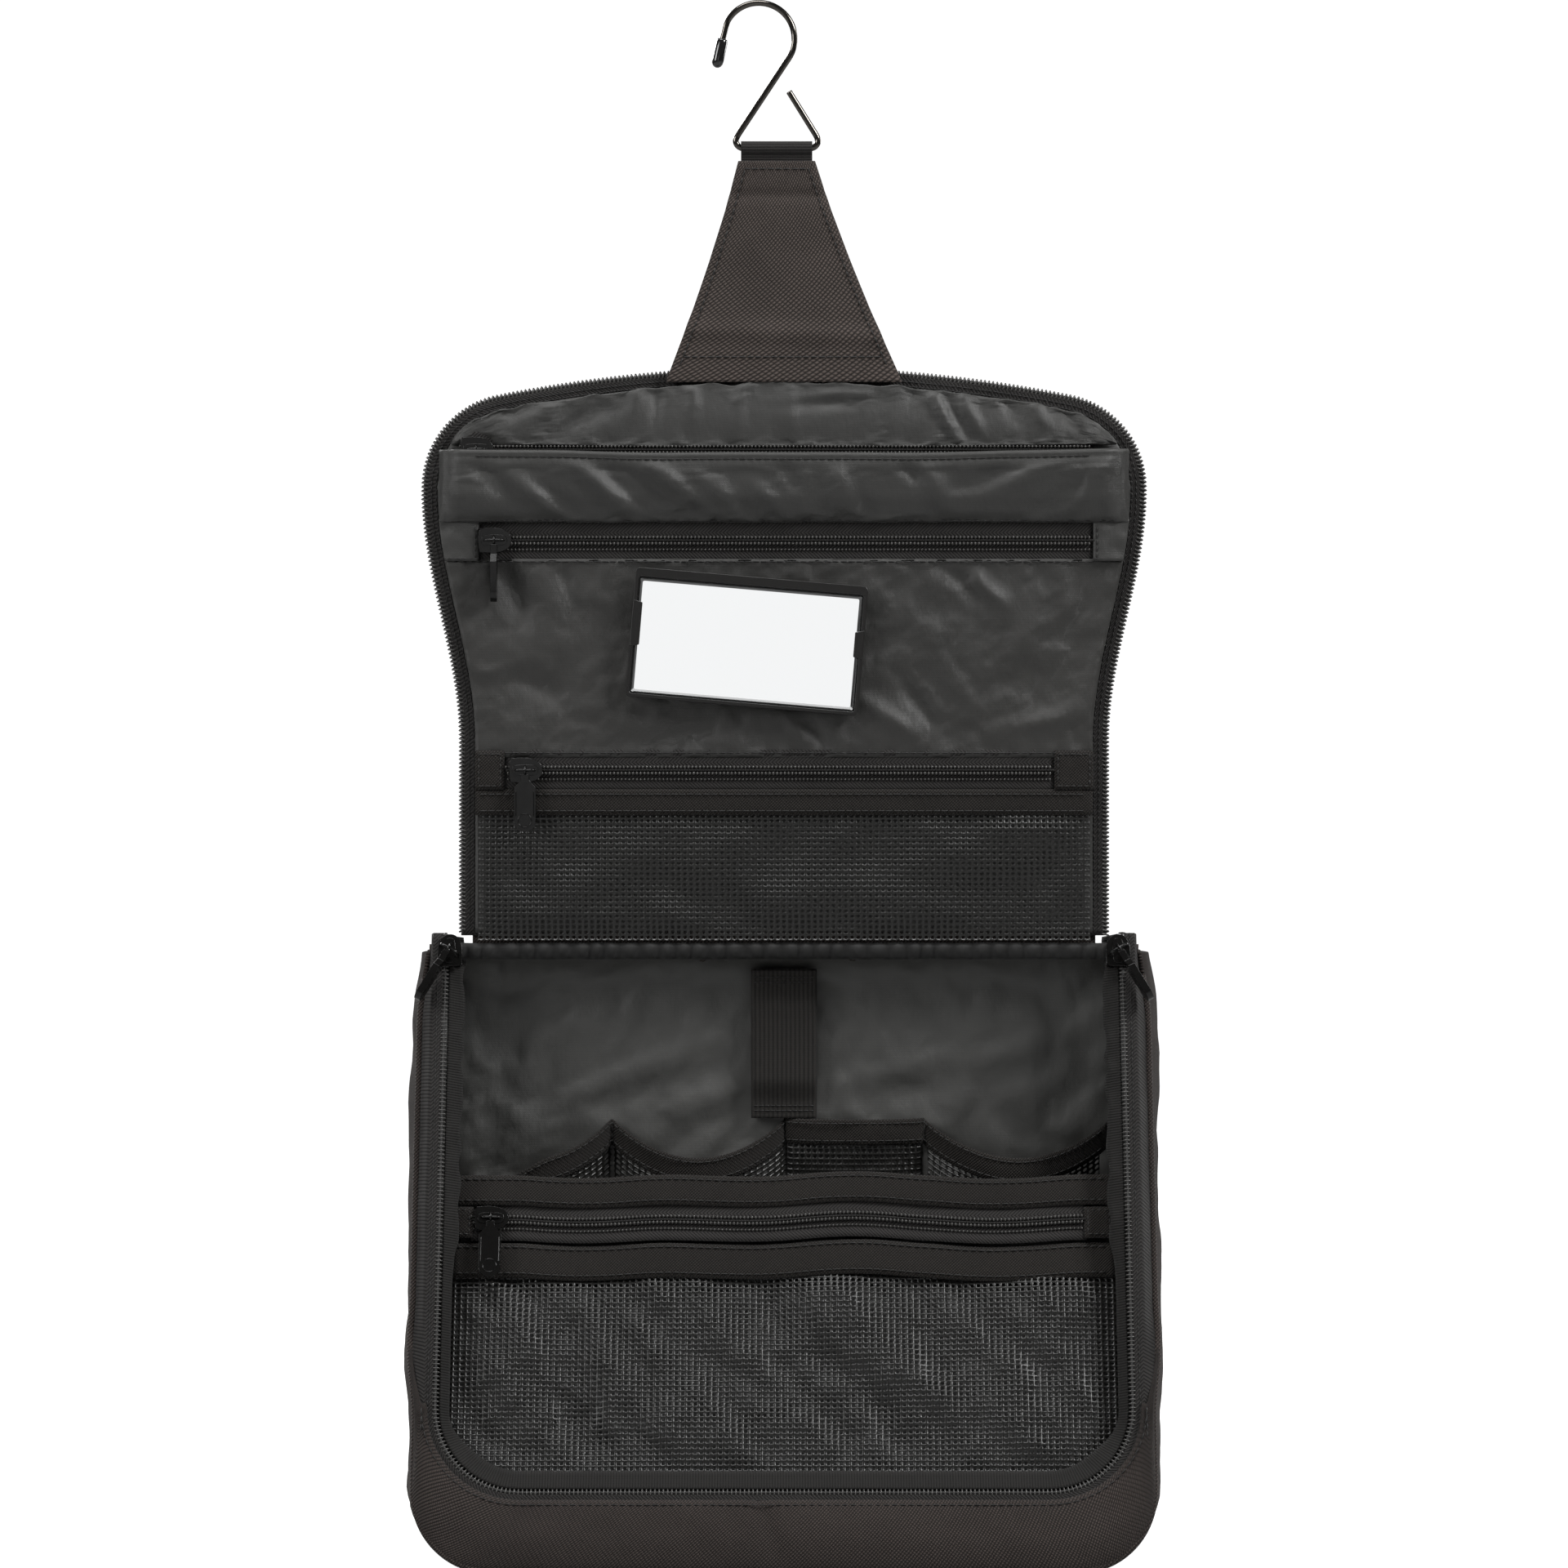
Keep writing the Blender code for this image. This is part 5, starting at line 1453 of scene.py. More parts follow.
def build_lid_lining():
    rows, cols = 96, 111
    grid = lid_grid(INNER_INSET, 4.0 * MM, -0.4 * MM, rows, cols)
    lining = surface("lid_satin", grid, MAT["satin"], LINING)
    drape(lining, rows, cols, 0.02, 0.35 * MM, 11, stiffness=8, bending=0.12)
    attach(lining, "lid", "lid_lining")
    build_crown()
    build_flap()
    build_mirror_panel()
    build_lid_net()


def half_inner(h):
    """Half width of the lid's inner layer."""
    return lid_side(min(h, CORNER_Y), INNER_INSET)


# Folds of the crown, as folded() reads them
CROWN_FOLDS = (
    (-96, 181, 20, 10, 3.0, -1.2), (-78, 184, 30, 11, 2.5, 1.1), (-67, 179, 25, 12, 3.2, -1.4),
    (-50, 187, 80, 7, 2.4, 1.2), (-43, 184, 85, 9, 2.0, -1.1), (-31, 186, 90, 8, 2.4, 1.0),
    (-16, 178, 85, 9, 3.0, 0.8), (2, 180, 95, 9, 3.0, 0.9), (18, 184, 5, 14, 2.2, -1.1),
    (20, 187, 5, 12, 2.0, 0.8), (44, 188, 80, 6, 2.5, -1.0), (53, 182, 118, 10, 1.8, 1.5),
    (58, 180, 120, 10, 1.8, -1.5), (63, 181, 118, 9, 1.8, 1.3), (76, 183, 125, 8, 2.2, -1.1),
    (86, 181, 130, 8, 2.4, 1.1), (97, 178, 140, 7, 2.2, -0.9))


def build_crown():
    rows, cols = 44, 151
    low = TOP_ZIP[0] + 1.3 * MM
    radius = LID_CORNER_RADIUS - INNER_INSET
    reach = CORNER_X + math.sqrt(radius**2 - (low + 1.5 * MM - CORNER_Y) ** 2)
    grid = []
    for r in spread(0.0, 1.0, rows):
        row = []
        for c in spread(-1.0, 1.0, cols):
            x = c * reach
            sagged = low + 0.6 * flap_sag(x)
            top = lid_top(x, INNER_INSET) + 1.1 * MM * ripple(x, 0.0, 7 * MM, 39.0, 1)
            h = sagged + (top - sagged) * r
            held = smoothstep(r / 0.15) * smoothstep((1 - r) / 0.1)
            bulge = 1.0 * MM * math.sin(math.pi * r) + folded(CROWN_FOLDS, x, h) * held
            slot = 2.6 * MM * math.exp(-(((x / MM + 104) / 8) ** 2) - (((h / MM - 169) / 6) ** 2))
            row.append(lid_point(x, h, 2.9 * MM - 0.9 * MM * r + bulge - slot))
        grid.append(row)
    crown = surface("crown_satin", grid, MAT["satin"], LINING)
    drape(crown, rows, cols, 0.03, 0.7 * MM, 12, stiffness=8, bending=0.15)
    attach(crown, "lid", "lid_crown_panel")


FLAP_SEWN = 143.5 * MM
FLAP_FOLD = 167.2 * MM


def flap_sag(x):
    """The flap's fold dips a little in the middle of the lid."""
    return 1.3 * MM * ((x / (110 * MM)) ** 2) - 0.5 * MM + ripple(x, 0.0, 40 * MM, 41.0, 1) * 0.7 * MM


# Folds of the flap, as folded() reads them
FLAP_FOLDS = (
    (-98, 156, -40, 9, 3.0, -1.0), (-84, 152, -38, 11, 3.0, 1.1), (-76, 150, -35, 9, 2.6, -1.1),
    (-62, 155, -40, 12, 3.0, 1.2), (-47, 152, -37, 14, 3.6, -1.9), (-38, 157, -40, 10, 3.0, 1.3),
    (-29, 146, -45, 4, 1.6, -1.0), (-23, 154, -35, 9, 3.2, 0.9), (-12, 147, -48, 5, 1.8, -1.2),
    (-6, 152, -42, 6, 2.6, 0.9), (2, 159, -55, 5, 2.2, -1.2), (12, 151, -80, 6, 2.8, -1.0),
    (20, 155, -70, 8, 3.0, 0.8), (28, 148, -62, 5, 2.2, -0.9), (43, 160, -50, 5, 2.2, -0.9),
    (52, 154, -60, 9, 3.5, 0.8), (66, 157, 20, 9, 3.0, -0.8), (82, 158, 25, 10, 3.0, 0.9),
    (96, 152, 30, 12, 3.0, -0.9), (104, 156, 60, 8, 2.6, 0.9))


def build_flap():
    """The upper pocket's flap: sewn along its foot, rising to a soft fold, and turned back down behind."""
    rows, cols = 38, 131
    sewn = ((0, 2.9), (0.8, 4.2), (3, 6.0), (8, 8.0), (14, 8.7))
    folded_over = ((4, 9.0), (1, 9.1), (0.1, 8.8), (0, 8.3), (0.5, 7.9), (2.5, 7.7))
    profile = [(FLAP_SEWN + above * MM, out * MM) for above, out in sewn]
    profile += [(FLAP_FOLD - below * MM, out * MM) for below, out in folded_over]
    line = smooth_path(resample(profile, rows), 2)
    grid = []
    for h, out in line:
        row = []
        reach = half_inner(FLAP_SEWN) - 0.3 * MM
        for x in spread(-reach, reach, cols):
            rise = (h - FLAP_SEWN) / (FLAP_FOLD - FLAP_SEWN)
            end = smoothstep((reach - abs(x)) / (7 * MM))
            groove = 0.35 * MM * math.exp(-(((h - FLAP_FOLD + 2.4 * MM) / (0.8 * MM)) ** 2))
            if out <= 7 * MM:
                groove = 0.0
            pushed = 1.2 * MM * math.exp(-(((x / MM + 104) / 8) ** 2) - (((h / MM - 149.5) / 7) ** 2))
            held = smoothstep((h - FLAP_SEWN) / (4 * MM)) * smoothstep((165 * MM - h) / (4 * MM))
            soft = max(-1.0 * MM, 1.7 * folded(FLAP_FOLDS, x, h)) * held
            if out < 7.5 * MM and h > 165 * MM:
                pushed = soft = 0.0
            front = out - groove + (soft + pushed) * (0.0 if h > 165.5 * MM else 1.0)
            front = 2.9 * MM + (front - 2.9 * MM) * (0.12 + 0.88 * end)
            row.append(lid_point(x, h + flap_sag(x) * rise, front))
        grid.append(row)
    flap = surface("flap_satin", grid, MAT["satin"], LINING)
    drape(flap, rows, cols, 0.02, 0.6 * MM, 13, pinned=range(26, 38), stiffness=10, bending=0.15)
    attach(flap, "lid", "lid_flap", "lid_flap_panel")
    fold = FLAP_FOLD - 2.4 * MM
    top = [lid_point(x, fold + flap_sag(x), 9.4 * MM) for x in spread(-104 * MM, 104 * MM, 220)]
    low = [lid_point(x, FLAP_SEWN + 0.3 * MM, 3.5 * MM) for x in spread(-114 * MM, 114 * MM, 230)]
    stitches("flap_stitches", [top, low], (0, -1, 0), "lid")


# Folds of the mirror panel, as folded() reads them
MIRROR_PANEL_FOLDS = (
    (-90, 118, -60, 14, 5.0, -1.6), (-82, 110, -65, 16, 4.5, 1.3), (-74, 122, -75, 9, 3.0, -1.1),
    (-98, 96, 25, 14, 5.0, 1.2), (-80, 86, -30, 18, 5.0, -1.4), (-60, 78, -20, 16, 4.5, 1.1),
    (-66, 100, 40, 14, 5.0, -1.0), (-30, 72, 10, 18, 3.5, -1.0), (4, 73, -60, 8, 2.6, 1.2),
    (12, 71, -70, 7, 2.6, -1.2), (34, 78, -35, 12, 3.0, 1.2), (44, 84, -55, 12, 3.0, -1.3),
    (56, 92, -60, 14, 5.0, 0.9), (60, 124, -45, 8, 3.0, -1.2), (68, 121, -40, 9, 3.0, 1.1),
    (82, 104, 40, 18, 6.0, 0.9), (94, 92, 50, 14, 5.0, -1.0), (88, 76, 15, 12, 3.5, 1.0),
    (100, 112, 70, 12, 4.0, -1.0))


def pinch(x, away, seed):
    """Short puckers that a line of stitching pulls into thin cloth."""
    strength = math.exp(-away / (5 * MM)) * smoothstep(away / (1.5 * MM))
    return ripple(x, 0.0, 5.5 * MM, seed, 1) * 1.1 * MM * strength


def build_mirror_panel():
    rows, cols = 48, 151
    low, high = 63.5 * MM, UPPER_ZIP[0] - 6.2 * MM
    grid = []
    for r in spread(0.0, 1.0, rows):
        h = low + (high - low) * r
        row = []
        for c in spread(-1.0, 1.0, cols):
            x = c * half_inner(h)
            held = smoothstep(r / 0.08) * smoothstep((1 - r) / 0.08) * smoothstep((1 - abs(c)) / 0.05)
            under = smoothstep(math.hypot((x - MIRROR_X) / (44 * MM), (h - MIRROR_H) / (24 * MM)) - 0.7)
            soft = 1.3 * folded(MIRROR_PANEL_FOLDS, x, h) * held * under
            free = max(smoothstep((x + 56 * MM) / (8 * MM)), smoothstep((96 * MM - h) / (8 * MM)))
            soft = min(soft, (0.2 + 3.0 * free) * MM)
            row.append(lid_point(x, h, 1.6 * MM + soft + pinch(x, high - h, 44.0) + pinch(x, h - low, 46.0)))
        grid.append(row)
    # The mirror panel takes the darker satin copy: painted shade below the flap.
    panel = surface("mirror_satin", grid, MAT["mirror_satin"], LINING)
    drape(panel, rows, cols, 0.02, 0.45 * MM, 14, stiffness=8, bending=0.12)
    attach(panel, "lid", "lid_mirror_panel")
    line = [lid_point(x, high - 1.0 * MM, 2.4 * MM) for x in spread(-113 * MM, 113 * MM, 230)]
    foot = [lid_point(x, low + 1.6 * MM, 2.4 * MM) for x in spread(-103 * MM, 103 * MM, 220)]
    stitches("mirror_panel_stitches", [line, foot], (0, -1, 0), "lid")
    build_window_ends()


def build_window_ends():
    """The lining runs past both ends of the upper zip, and is sewn down in a small box round each end."""
    low, high = UPPER_ZIP[0] - 7 * MM, UPPER_ZIP[0] + 7.2 * MM
    paths = []
    for side, near in ((-1, UPPER_ZIP[1]), (1, UPPER_ZIP[2])):
        grid = []
        for h in spread(low, high, 15):
            far = half_inner(h)
            row = []
            for t in spread(0.0, 1.0, 15):
                x = near + (side * far - near) * t
                puff = ripple(x, h, 7 * MM, 43.0) * 0.5 * MM * smoothstep(t / 0.3)
                row.append(lid_point(x, h, 2.5 * MM + puff + 0.3 * MM * smoothstep(t / 0.2)))
            grid.append(row if side > 0 else row[::-1])
        piece = surface("upper_end_" + ("right" if side > 0 else "left"), grid, MAT["satin"], LINING)
        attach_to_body(piece, "lid")
        x = near + side * 1.2 * MM
        paths.append([lid_point(x, h, 3.1 * MM) for h in spread(low + 1 * MM, high - 1 * MM, 20)])
        far = half_inner(low)
        for h in (low + 0.8 * MM, high - 0.8 * MM):
            paths.append([lid_point(x, h, 3.1 * MM) for x in spread(near, side * (far - 1 * MM), 20)])
    stitches("upper_end_stitches", paths, (0, -1, 0), "lid", pitch=2.2 * MM, length=1.6 * MM)


def lid_net_wave(x, h):
    held = smoothstep((h - 2 * MM) / (8 * MM)) * smoothstep((46 * MM - h) / (8 * MM))
    held *= smoothstep((104 * MM - abs(x)) / (12 * MM))
    return (ripple(x, h, 24 * MM, 51.0) * 1.8 * MM + 0.5 * MM) * held


def build_lid_net():
    mesh = net("lid_mesh", lid_point, lambda h: -half_inner(h), half_inner, 1.5 * MM, 46.5 * MM,
               lambda x, h: 1.7 * MM + lid_net_wave(x, h), "lid")
    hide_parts("lid_net")
    reach = half_inner(48 * MM)
    band("lid_net_ribbon", lid_point, -reach, reach, 44 * MM, 52.6 * MM, 2.2 * MM, "lid", "lid_net_band",
         lambda x, h: edge_wave(x, h) * 0.5)
    seams = [[lid_point(x, h, 2.85 * MM + edge_wave(x, h) * 0.5) for x in spread(-103 * MM, 103 * MM, 230)]
             for h in (45.4 * MM, 51.0 * MM)]
    stitches("lid_ribbon_stitches", seams, (0, -1, 0), "lid")
    spans = ((-104.8 * MM, -95 * MM), (91.8 * MM, 105 * MM))
    end_tabs("net", lid_point, 52.6 * MM, 65.8 * MM, spans, 2.3 * MM, "lid")


# ---------------------------------------------------------------- mirror


def mirror_axes():
    """Centre of the mirror, and its across, up and out directions."""
    turn = math.radians(MIRROR_TURN)
    across = np.array([math.cos(turn), 0.0, math.sin(turn)])
    up = np.array([-math.sin(turn), 0.0, math.cos(turn)])
    return lid_point(MIRROR_X, MIRROR_H, 0.0), (across, up, np.array([0.0, -1.0, 0.0]))


def rounded_box(width, height, radius, shift=0.0):
    """The outline of a rectangle with rounded corners, moved down by a shift."""
    x, y = width / 2 - radius, height / 2 - radius
    out = []
    for cx, cy, start in ((x, -y, -90), (x, y, 0), (-x, y, 90), (-x, -y, 180)):
        out += arc(cx, cy, radius, start, start + 90, 6)
    return [(a, b - shift) for a, b in out]


def ring_prism(outer, inner, low, high):
    """A frame between two outlines of the same count."""
    n = len(outer)
    rings = [(outer, low), (outer, high), (inner, high), (inner, low)]
    verts = [(x, y, z) for outline, z in rings for x, y in outline]
    faces = []
    for r in range(4):
        a, b = r * n, ((r + 1) % 4) * n
        faces += [(a + i, a + (i + 1) % n, b + (i + 1) % n, b + i) for i in range(n)]
    return verts, faces


def build_mirror():
    origin, axes = mirror_axes()
    shift = 0.9 * MM
    outer = rounded_box(79 * MM, 44 * MM, 1.6 * MM)
    window = rounded_box(76.4 * MM, 39.6 * MM, 0.9 * MM, shift)
    parts = [prism(outer, 4.4 * MM, 5.25 * MM), ring_prism(outer, window, 5.2 * MM, 7.5 * MM)]
    for sign, low, high in ((-1, -5 * MM, 11 * MM), (1, -3 * MM, 7 * MM)):
        rim, tip, slope = sign * 39.5 * MM, sign * 36.3 * MM, 0.8 * MM
        lip = [(rim, low), (tip, low + slope), (tip, high - slope), (rim, high)]
        parts.append(prism(lip if sign > 0 else lip[::-1], 7.0 * MM, 7.7 * MM))
    tray = bevelled("mirror_tray", oriented(parts, origin, *axes), MAT["frame"], 0.3 * MM, 3)
    attach(tray, "mirror", "mirror_frame")
    edge = rounded_box(75.6 * MM, 38.8 * MM, 0.8 * MM, shift)
    face = rounded_box(73.6 * MM, 36.8 * MM, 0.6 * MM, shift)
    levels = ((edge, 5.5 * MM), (edge, 6.45 * MM), (face, 6.85 * MM))
    verts = [(x, y, z) for outline, z in levels for x, y in outline]
    n = len(edge)
    faces = [tuple(range(n - 1, -1, -1)), tuple(range(2 * n, 3 * n))]
    for a in (0, n):
        faces += [(a + i, a + (i + 1) % n, a + n + (i + 1) % n, a + n + i) for i in range(n)]
    verts, faces = merge(oriented([(verts, faces)], origin, *axes))
    plate = mesh_from("mirror_face", verts, faces, [(v[0], v[2]) for v in verts], smooth=False)
    plate.data.materials.append(MAT["mirror"])
    attach(plate, "mirror", "mirror_plate")


# ---------------------------------------------------------------- hanging tab and hook


TAB_LOW, TAB_HIGH = 191 * MM, 266 * MM
# Half widths of the tab, as (height, half width) in millimetres
TAB_EDGES = (
    (191.0, 39.9), (192.0, 39.6), (199.0, 36.7), (215.6, 29.9), (232.3, 23.6), (248.9, 17.8), (266.0, 12.6))


def tab_half(h):
    heights, halves = zip(*TAB_EDGES)
    return float(np.interp(h, [v * MM for v in heights], [v * MM for v in halves]))


def tab_middle(h):
    return -2.5 * MM * (h - TAB_LOW) / (TAB_HIGH - TAB_LOW)


def tab_out(x, h):
    """The tab's two soft creases and its slight cupping."""
    upper = -0.7 * MM * math.exp(-(((h - 254.5 * MM) / (2.2 * MM)) ** 2))
    lower = 0.9 * MM * math.exp(-(((h - 207.5 * MM + x * 0.04) / (3.2 * MM)) ** 2))
    return upper + lower + ripple(x, h, 20 * MM, 61.0) * 0.5 * MM * smoothstep((h - 195 * MM) / (15 * MM))


def build_tab():
    grid = []
    for h in spread(TAB_LOW, TAB_HIGH, 90):
        row = []
        for c in spread(-1.0, 1.0, 45):
            x = tab_middle(h) + c * tab_half(h)
            rounded = 0.55 * MM * smoothstep((abs(c) - 0.93) / 0.07)
            row.append(lid_point(x, h, 1.75 * MM + tab_out(x, h) - rounded))
        grid.append(row)
    tab = surface("tab_cloth", grid, MAT["tab"], CLOTH)
    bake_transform(tab)
    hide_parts("hanging_tab")
    edge = 2.6 * MM
    path = [(tab_middle(h) + tab_half(h) - edge, h) for h in spread(197 * MM, TAB_HIGH - edge, 70)]
    corner = path[-1][0]
    top = [(x, TAB_HIGH - edge) for x in spread(corner, tab_middle(TAB_HIGH) * 2 - corner, 20)[1:]]
    left = [(2 * tab_middle(h) - x, h) for x, h in reversed(path)]
    line = [lid_point(x, h, 2.65 * MM + tab_out(x, h)) for x, h in path + top + left]
    foot = 199.5 * MM
    low = [lid_point(x, foot, 2.65 * MM + tab_out(x, foot)) for x in spread(-34 * MM, 34 * MM, 80)]
    thread = stitches("tab_stitches", [line, low], (0, -1, 0), None)
    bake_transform(thread)


def build_loop():
    """The webbing that folds over the hook's bar and is sewn into the end of the tab."""
    centre_h, low = 270.4 * MM, 264.6 * MM
    radius, neck = 2.1 * MM, centre_h - 3.4 * MM
    section = [(low, 0.55 * MM), (neck, 0.62 * MM)]
    for a in spread(-65, 245, 26):
        section.append((centre_h + radius * math.sin(math.radians(a)), radius * math.cos(math.radians(a))))
    section += [(neck, -0.62 * MM), (low, -0.55 * MM)]
    grid = []
    for h, out in resample(section, 60):
        grid.append([lid_point(-2.5 * MM + c * 12.1 * MM, h, TAB_LAYER + out) for c in spread(-1.0, 1.0, 31)])
    loop = surface("loop_ribbon", grid, MAT["loop"], 0.75 * MM)
    attach(loop, "tab", "webbing_loop")
    seam = [lid_point(x, 265.4 * MM, TAB_LAYER + 0.95 * MM) for x in spread(-13 * MM, 8 * MM, 40)]
    stitches("loop_stitches", [seam], (0, -1, 0), "tab", pitch=2.0 * MM, length=1.5 * MM)


def build_hook():
    """One wire: the hook's arch, then down, along the bar that the loop holds, and up to its cut end."""
    arch = arc(-8.6, 307.7, 12.2, 153, -37.5, 60)
    bar_left, bar_right, cut_end = (-18.7, 270.4), (13.7, 270.4), (1.7, 289.7)
    bend_radius = 2.6
    points = [(-22.6, 299.6), (-20.9, 307.4)] + arch
    points += bend(arch[-1], bar_left, bar_right, bend_radius)
    points += bend(bar_left, bar_right, cut_end, bend_radius)
    points += [cut_end]
    flat = [(x * MM, h * MM) for x, h in points]
    flat = smooth_path(resample(flat, step=0.45 * MM), 6)
    path = [lid_point(x, h, TAB_LAYER) for x, h in flat]
    wire = tube("hook_rod", path, 1.05 * MM, MAT["hook"], 24)
    attach(wire, "hook", "hook_wire")
    axis = np.array(path[0]) - np.array(path[8])
    axis /= np.linalg.norm(axis)
    start = np.array(path[0]) - axis * 8.2 * MM
    profile = ((0.0, 1.25), (0.15, 1.62), (0.6, 1.85), (1.4, 1.95), (7.4, 1.98), (8.6, 1.82), (9.4, 1.36),
               (9.85, 0.72), (10.0, 0.12))
    line = [start + axis * a * MM for a, _ in profile]
    tip = tube("hook_cap", line, [b * MM for _, b in profile], MAT["tip"], 28)
    attach(tip, "hook", "hook_tip")


def bend(before, corner, after, radius):
    """A wire bend: the arc that rounds a corner between two straight runs."""
    c = np.array(corner, dtype=float)
    a = np.array(before, dtype=float) - c
    b = np.array(after, dtype=float) - c
    a /= np.linalg.norm(a)
    b /= np.linalg.norm(b)
    half = math.acos(float(np.clip(np.dot(a, b), -1, 1))) / 2
    reach = radius / math.tan(half)
    middle = c + (a + b) / np.linalg.norm(a + b) * radius / math.sin(half)
    start, end = c + a * reach - middle, c + b * reach - middle
    turn = math.pi - 2 * half
    sign = 1.0 if start[0] * end[1] - start[1] * end[0] > 0 else -1.0
    out = []
    for k in spread(0.0, 1.0, 10):
        t = sign * turn * k
        x = start[0] * math.cos(t) - start[1] * math.sin(t)
        y = start[0] * math.sin(t) + start[1] * math.cos(t)
        out.append((middle[0] + x, middle[1] + y))
    return out


# ---------------------------------------------------------------- hinge


def build_hinge():
    """The outer cloth that runs on from the body's top into the lid, and the ruffled seam."""
    half = RIM_HALF - 3 * MM
    outer_path = [(HINGE_Y + 3.4 * MM, HEIGHT - 0.5 * MM), (HINGE_Y + 2.6 * MM, HEIGHT - 0.1 * MM),
                  (HINGE_Y + 2.8 * MM, HEIGHT + 1.2 * MM), (HINGE_Y + 3.0 * MM, HEIGHT + 4.5 * MM)]
    reach = half - 6 * MM
    curve = resample(smooth_path(outer_path, 1), 9)
    grid = [[(x, y, z) for x in spread(-reach, reach, 60)] for y, z in curve]
    cloth = surface("hinge_cloth", grid, MAT["outer"], CLOTH * 0.8)
    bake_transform(cloth)
    waves = 118
    grid = []
    for k, (drop, out) in enumerate(((5.0, -0.6), (3.8, 0.2), (2.4, 0.7), (1.0, 0.8), (-0.4, 0.3))):
        row = []
        for x in spread(-half, half, 260):
            edge = 0.9 - 0.5 * abs(k - 2) / 2
            wave = math.sin(x / half * waves + 3.0 * ripple(x, 0.0, 16 * MM, 71.0)) * 0.95 * MM * edge
            lift = ripple(x, k * 5 * MM, 11 * MM, 73.0) * 0.5 * MM * edge
            row.append(lid_point(x, -drop * MM + lift, out * MM + wave))
        grid.append(row)
    ribbon = surface("hinge_ribbon", grid, MAT["hinge_satin"], 0.8 * MM)
    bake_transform(ribbon)
    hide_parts("hinge_binding")


# ---------------------------------------------------------------- build


build_gusset()
build_back()
build_border()
build_rim()
build_strap()
build_holder()
build_wall()
build_lid_shell()
build_lid_zip()
build_lid_lining()
for pocket, spec in (("top", TOP_ZIP), ("upper", UPPER_ZIP), ("net", NET_ZIP)):
    pocket_zip(pocket, lid_point, spec, LID_LAYER, "lid")
fit_slider("top", lid_point, math.radians(3.5), length=17.0)
fit_slider("upper", lid_point, half=3.6, shoulder=6.0, edge_on=True)
fit_slider("net", lid_point)
fit_slider("wall", wall_point)
build_main_sliders()
build_mirror()
build_tab()
build_loop()
build_hook()
build_hinge()
for patch in ("mirror_patch_sewn", "mirror_patch_glued"):
    obj = frame["nodes"][patch]
    obj.data.materials.clear()
    obj.data.materials.append(MAT["patch"])
run_cloths()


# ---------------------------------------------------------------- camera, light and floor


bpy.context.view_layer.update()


def glowing(name, level, base=0.0):
    """A white that the camera sees at a set level; with a base it also takes light and shade."""
    n = Nodes(name)
    path = n.new("ShaderNodeLightPath")
    white = (1.0, 1.0, 1.0)
    n.set(Base_Color=(base, base, base), Roughness=0.9, Specular_IOR_Level=0.1, Emission_Color=white)
    if base:
        n.link(n.math("MULTIPLY", path.outputs["Is Camera Ray"], level), n.shader.inputs["Emission Strength"])
    else:
        n.shader.inputs["Emission Strength"].default_value = level
    return n.mat


def build_backdrop():
    """A white floor that curves up into a white wall."""
    floor, far, radius, reach = -0.0012, 2.4, 0.8, 9.0
    curve = [math.radians(a) for a in spread(5, 90, 16)]
    profile = [(-reach, floor), (far, floor)]
    profile += [(far + radius * math.sin(a), radius - radius * math.cos(a)) for a in curve]
    profile += [(far + radius, 3.5)]
    grid = [[(x, y, z) for x in (-reach, 0.0, reach)] for y, z in profile]
    backdrop = surface("backdrop", grid, glowing("backdrop_white", 0.90, 0.40))


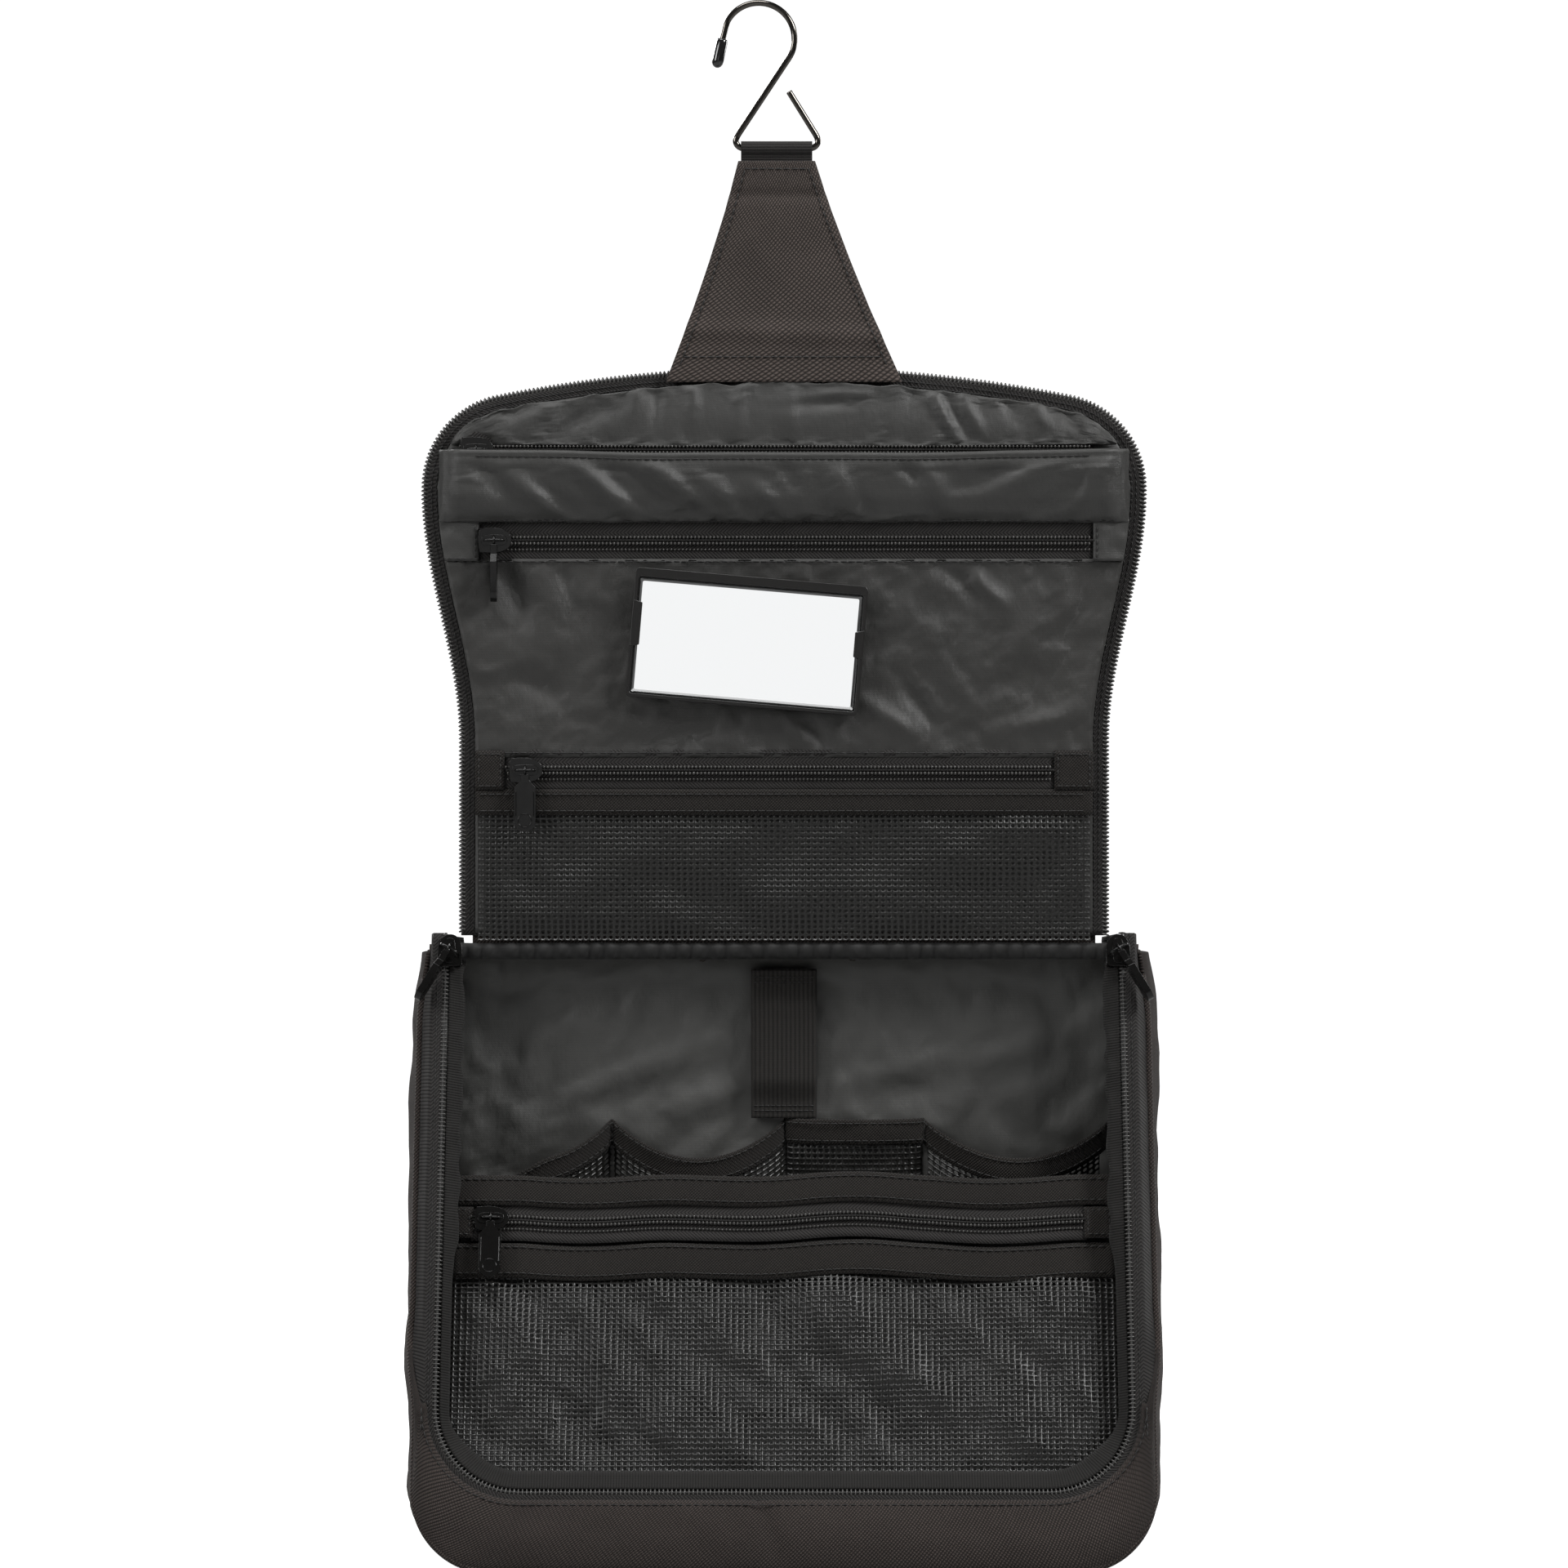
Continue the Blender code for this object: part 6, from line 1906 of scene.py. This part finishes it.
def area_light(name, place, target, width, height, watts):
    data = bpy.data.lights.new(name, "AREA")
    data.shape = "RECTANGLE"
    data.size, data.size_y = width, height
    data.energy = watts
    lamp = bpy.data.objects.new(name, data)
    bpy.context.scene.collection.objects.link(lamp)
    lamp.location = place
    lamp.rotation_euler = (Vector(target) - Vector(place)).to_track_quat("-Z", "Y").to_euler()


# Name, place, width, height and watts
STUDIO_LIGHTS = (
    ("key", (1.3, -0.75, 1.35), 0.55, 0.55, 26),
    ("fill", (-1.5, -1.0, 0.9), 0.7, 0.7, 14),
    ("top", (-0.2, -0.45, 1.7), 0.9, 0.4, 14),
    ("back", (-1.2, 1.7, 1.3), 1.0, 0.8, 34),
    ("back_side", (1.6, 1.2, 0.8), 0.8, 0.8, 14))


def build_studio():
    """A dim even world that looks white to the camera, the soft lights, and a card for the mirror to show."""
    world = bpy.data.worlds.new("studio")
    world.use_nodes = True
    tree = world.node_tree
    glow = tree.nodes["Background"]
    glow.inputs[0].default_value = (1, 1, 1, 1)
    path = tree.nodes.new("ShaderNodeLightPath")
    level = tree.nodes.new("ShaderNodeMapRange")
    level.inputs["To Min"].default_value = WORLD_LEVEL
    level.inputs["To Max"].default_value = 1.0
    tree.links.new(path.outputs["Is Camera Ray"], level.inputs["Value"])
    tree.links.new(level.outputs[0], glow.inputs[1])
    bpy.context.scene.world = world
    bpy.context.scene.view_settings.view_transform = "Standard"
    middle = (0.0, HINGE_Y, 0.26)
    for name, place, width, height, watts in STUDIO_LIGHTS:
        area_light(name, place, middle, width, height, watts)
    card = prism([(-0.35, -0.3), (0.35, -0.3), (0.35, 0.3), (-0.35, 0.3)], 0.0, 0.002)
    verts, faces = merge(oriented([card], np.array([0.0, -3.0, 0.42]), (1, 0, 0), (0, 0, 1), (0, 1, 0)))
    panel = mesh_from("mirror_card", verts, faces)
    panel.data.materials.append(glowing("card_white", 0.95))


def build_camera():
    data = bpy.data.cameras.new("camera")
    data.sensor_width = 36.0
    data.lens = LENS
    camera = bpy.data.objects.new("camera", data)
    bpy.context.scene.collection.objects.link(camera)
    camera.location = (CAMERA_X, HINGE_Y - CAMERA_AWAY, CAMERA_Z)
    camera.rotation_euler = (math.radians(90), 0.0, 0.0)
    bpy.context.scene.camera = camera


build_backdrop()
build_studio()
build_camera()
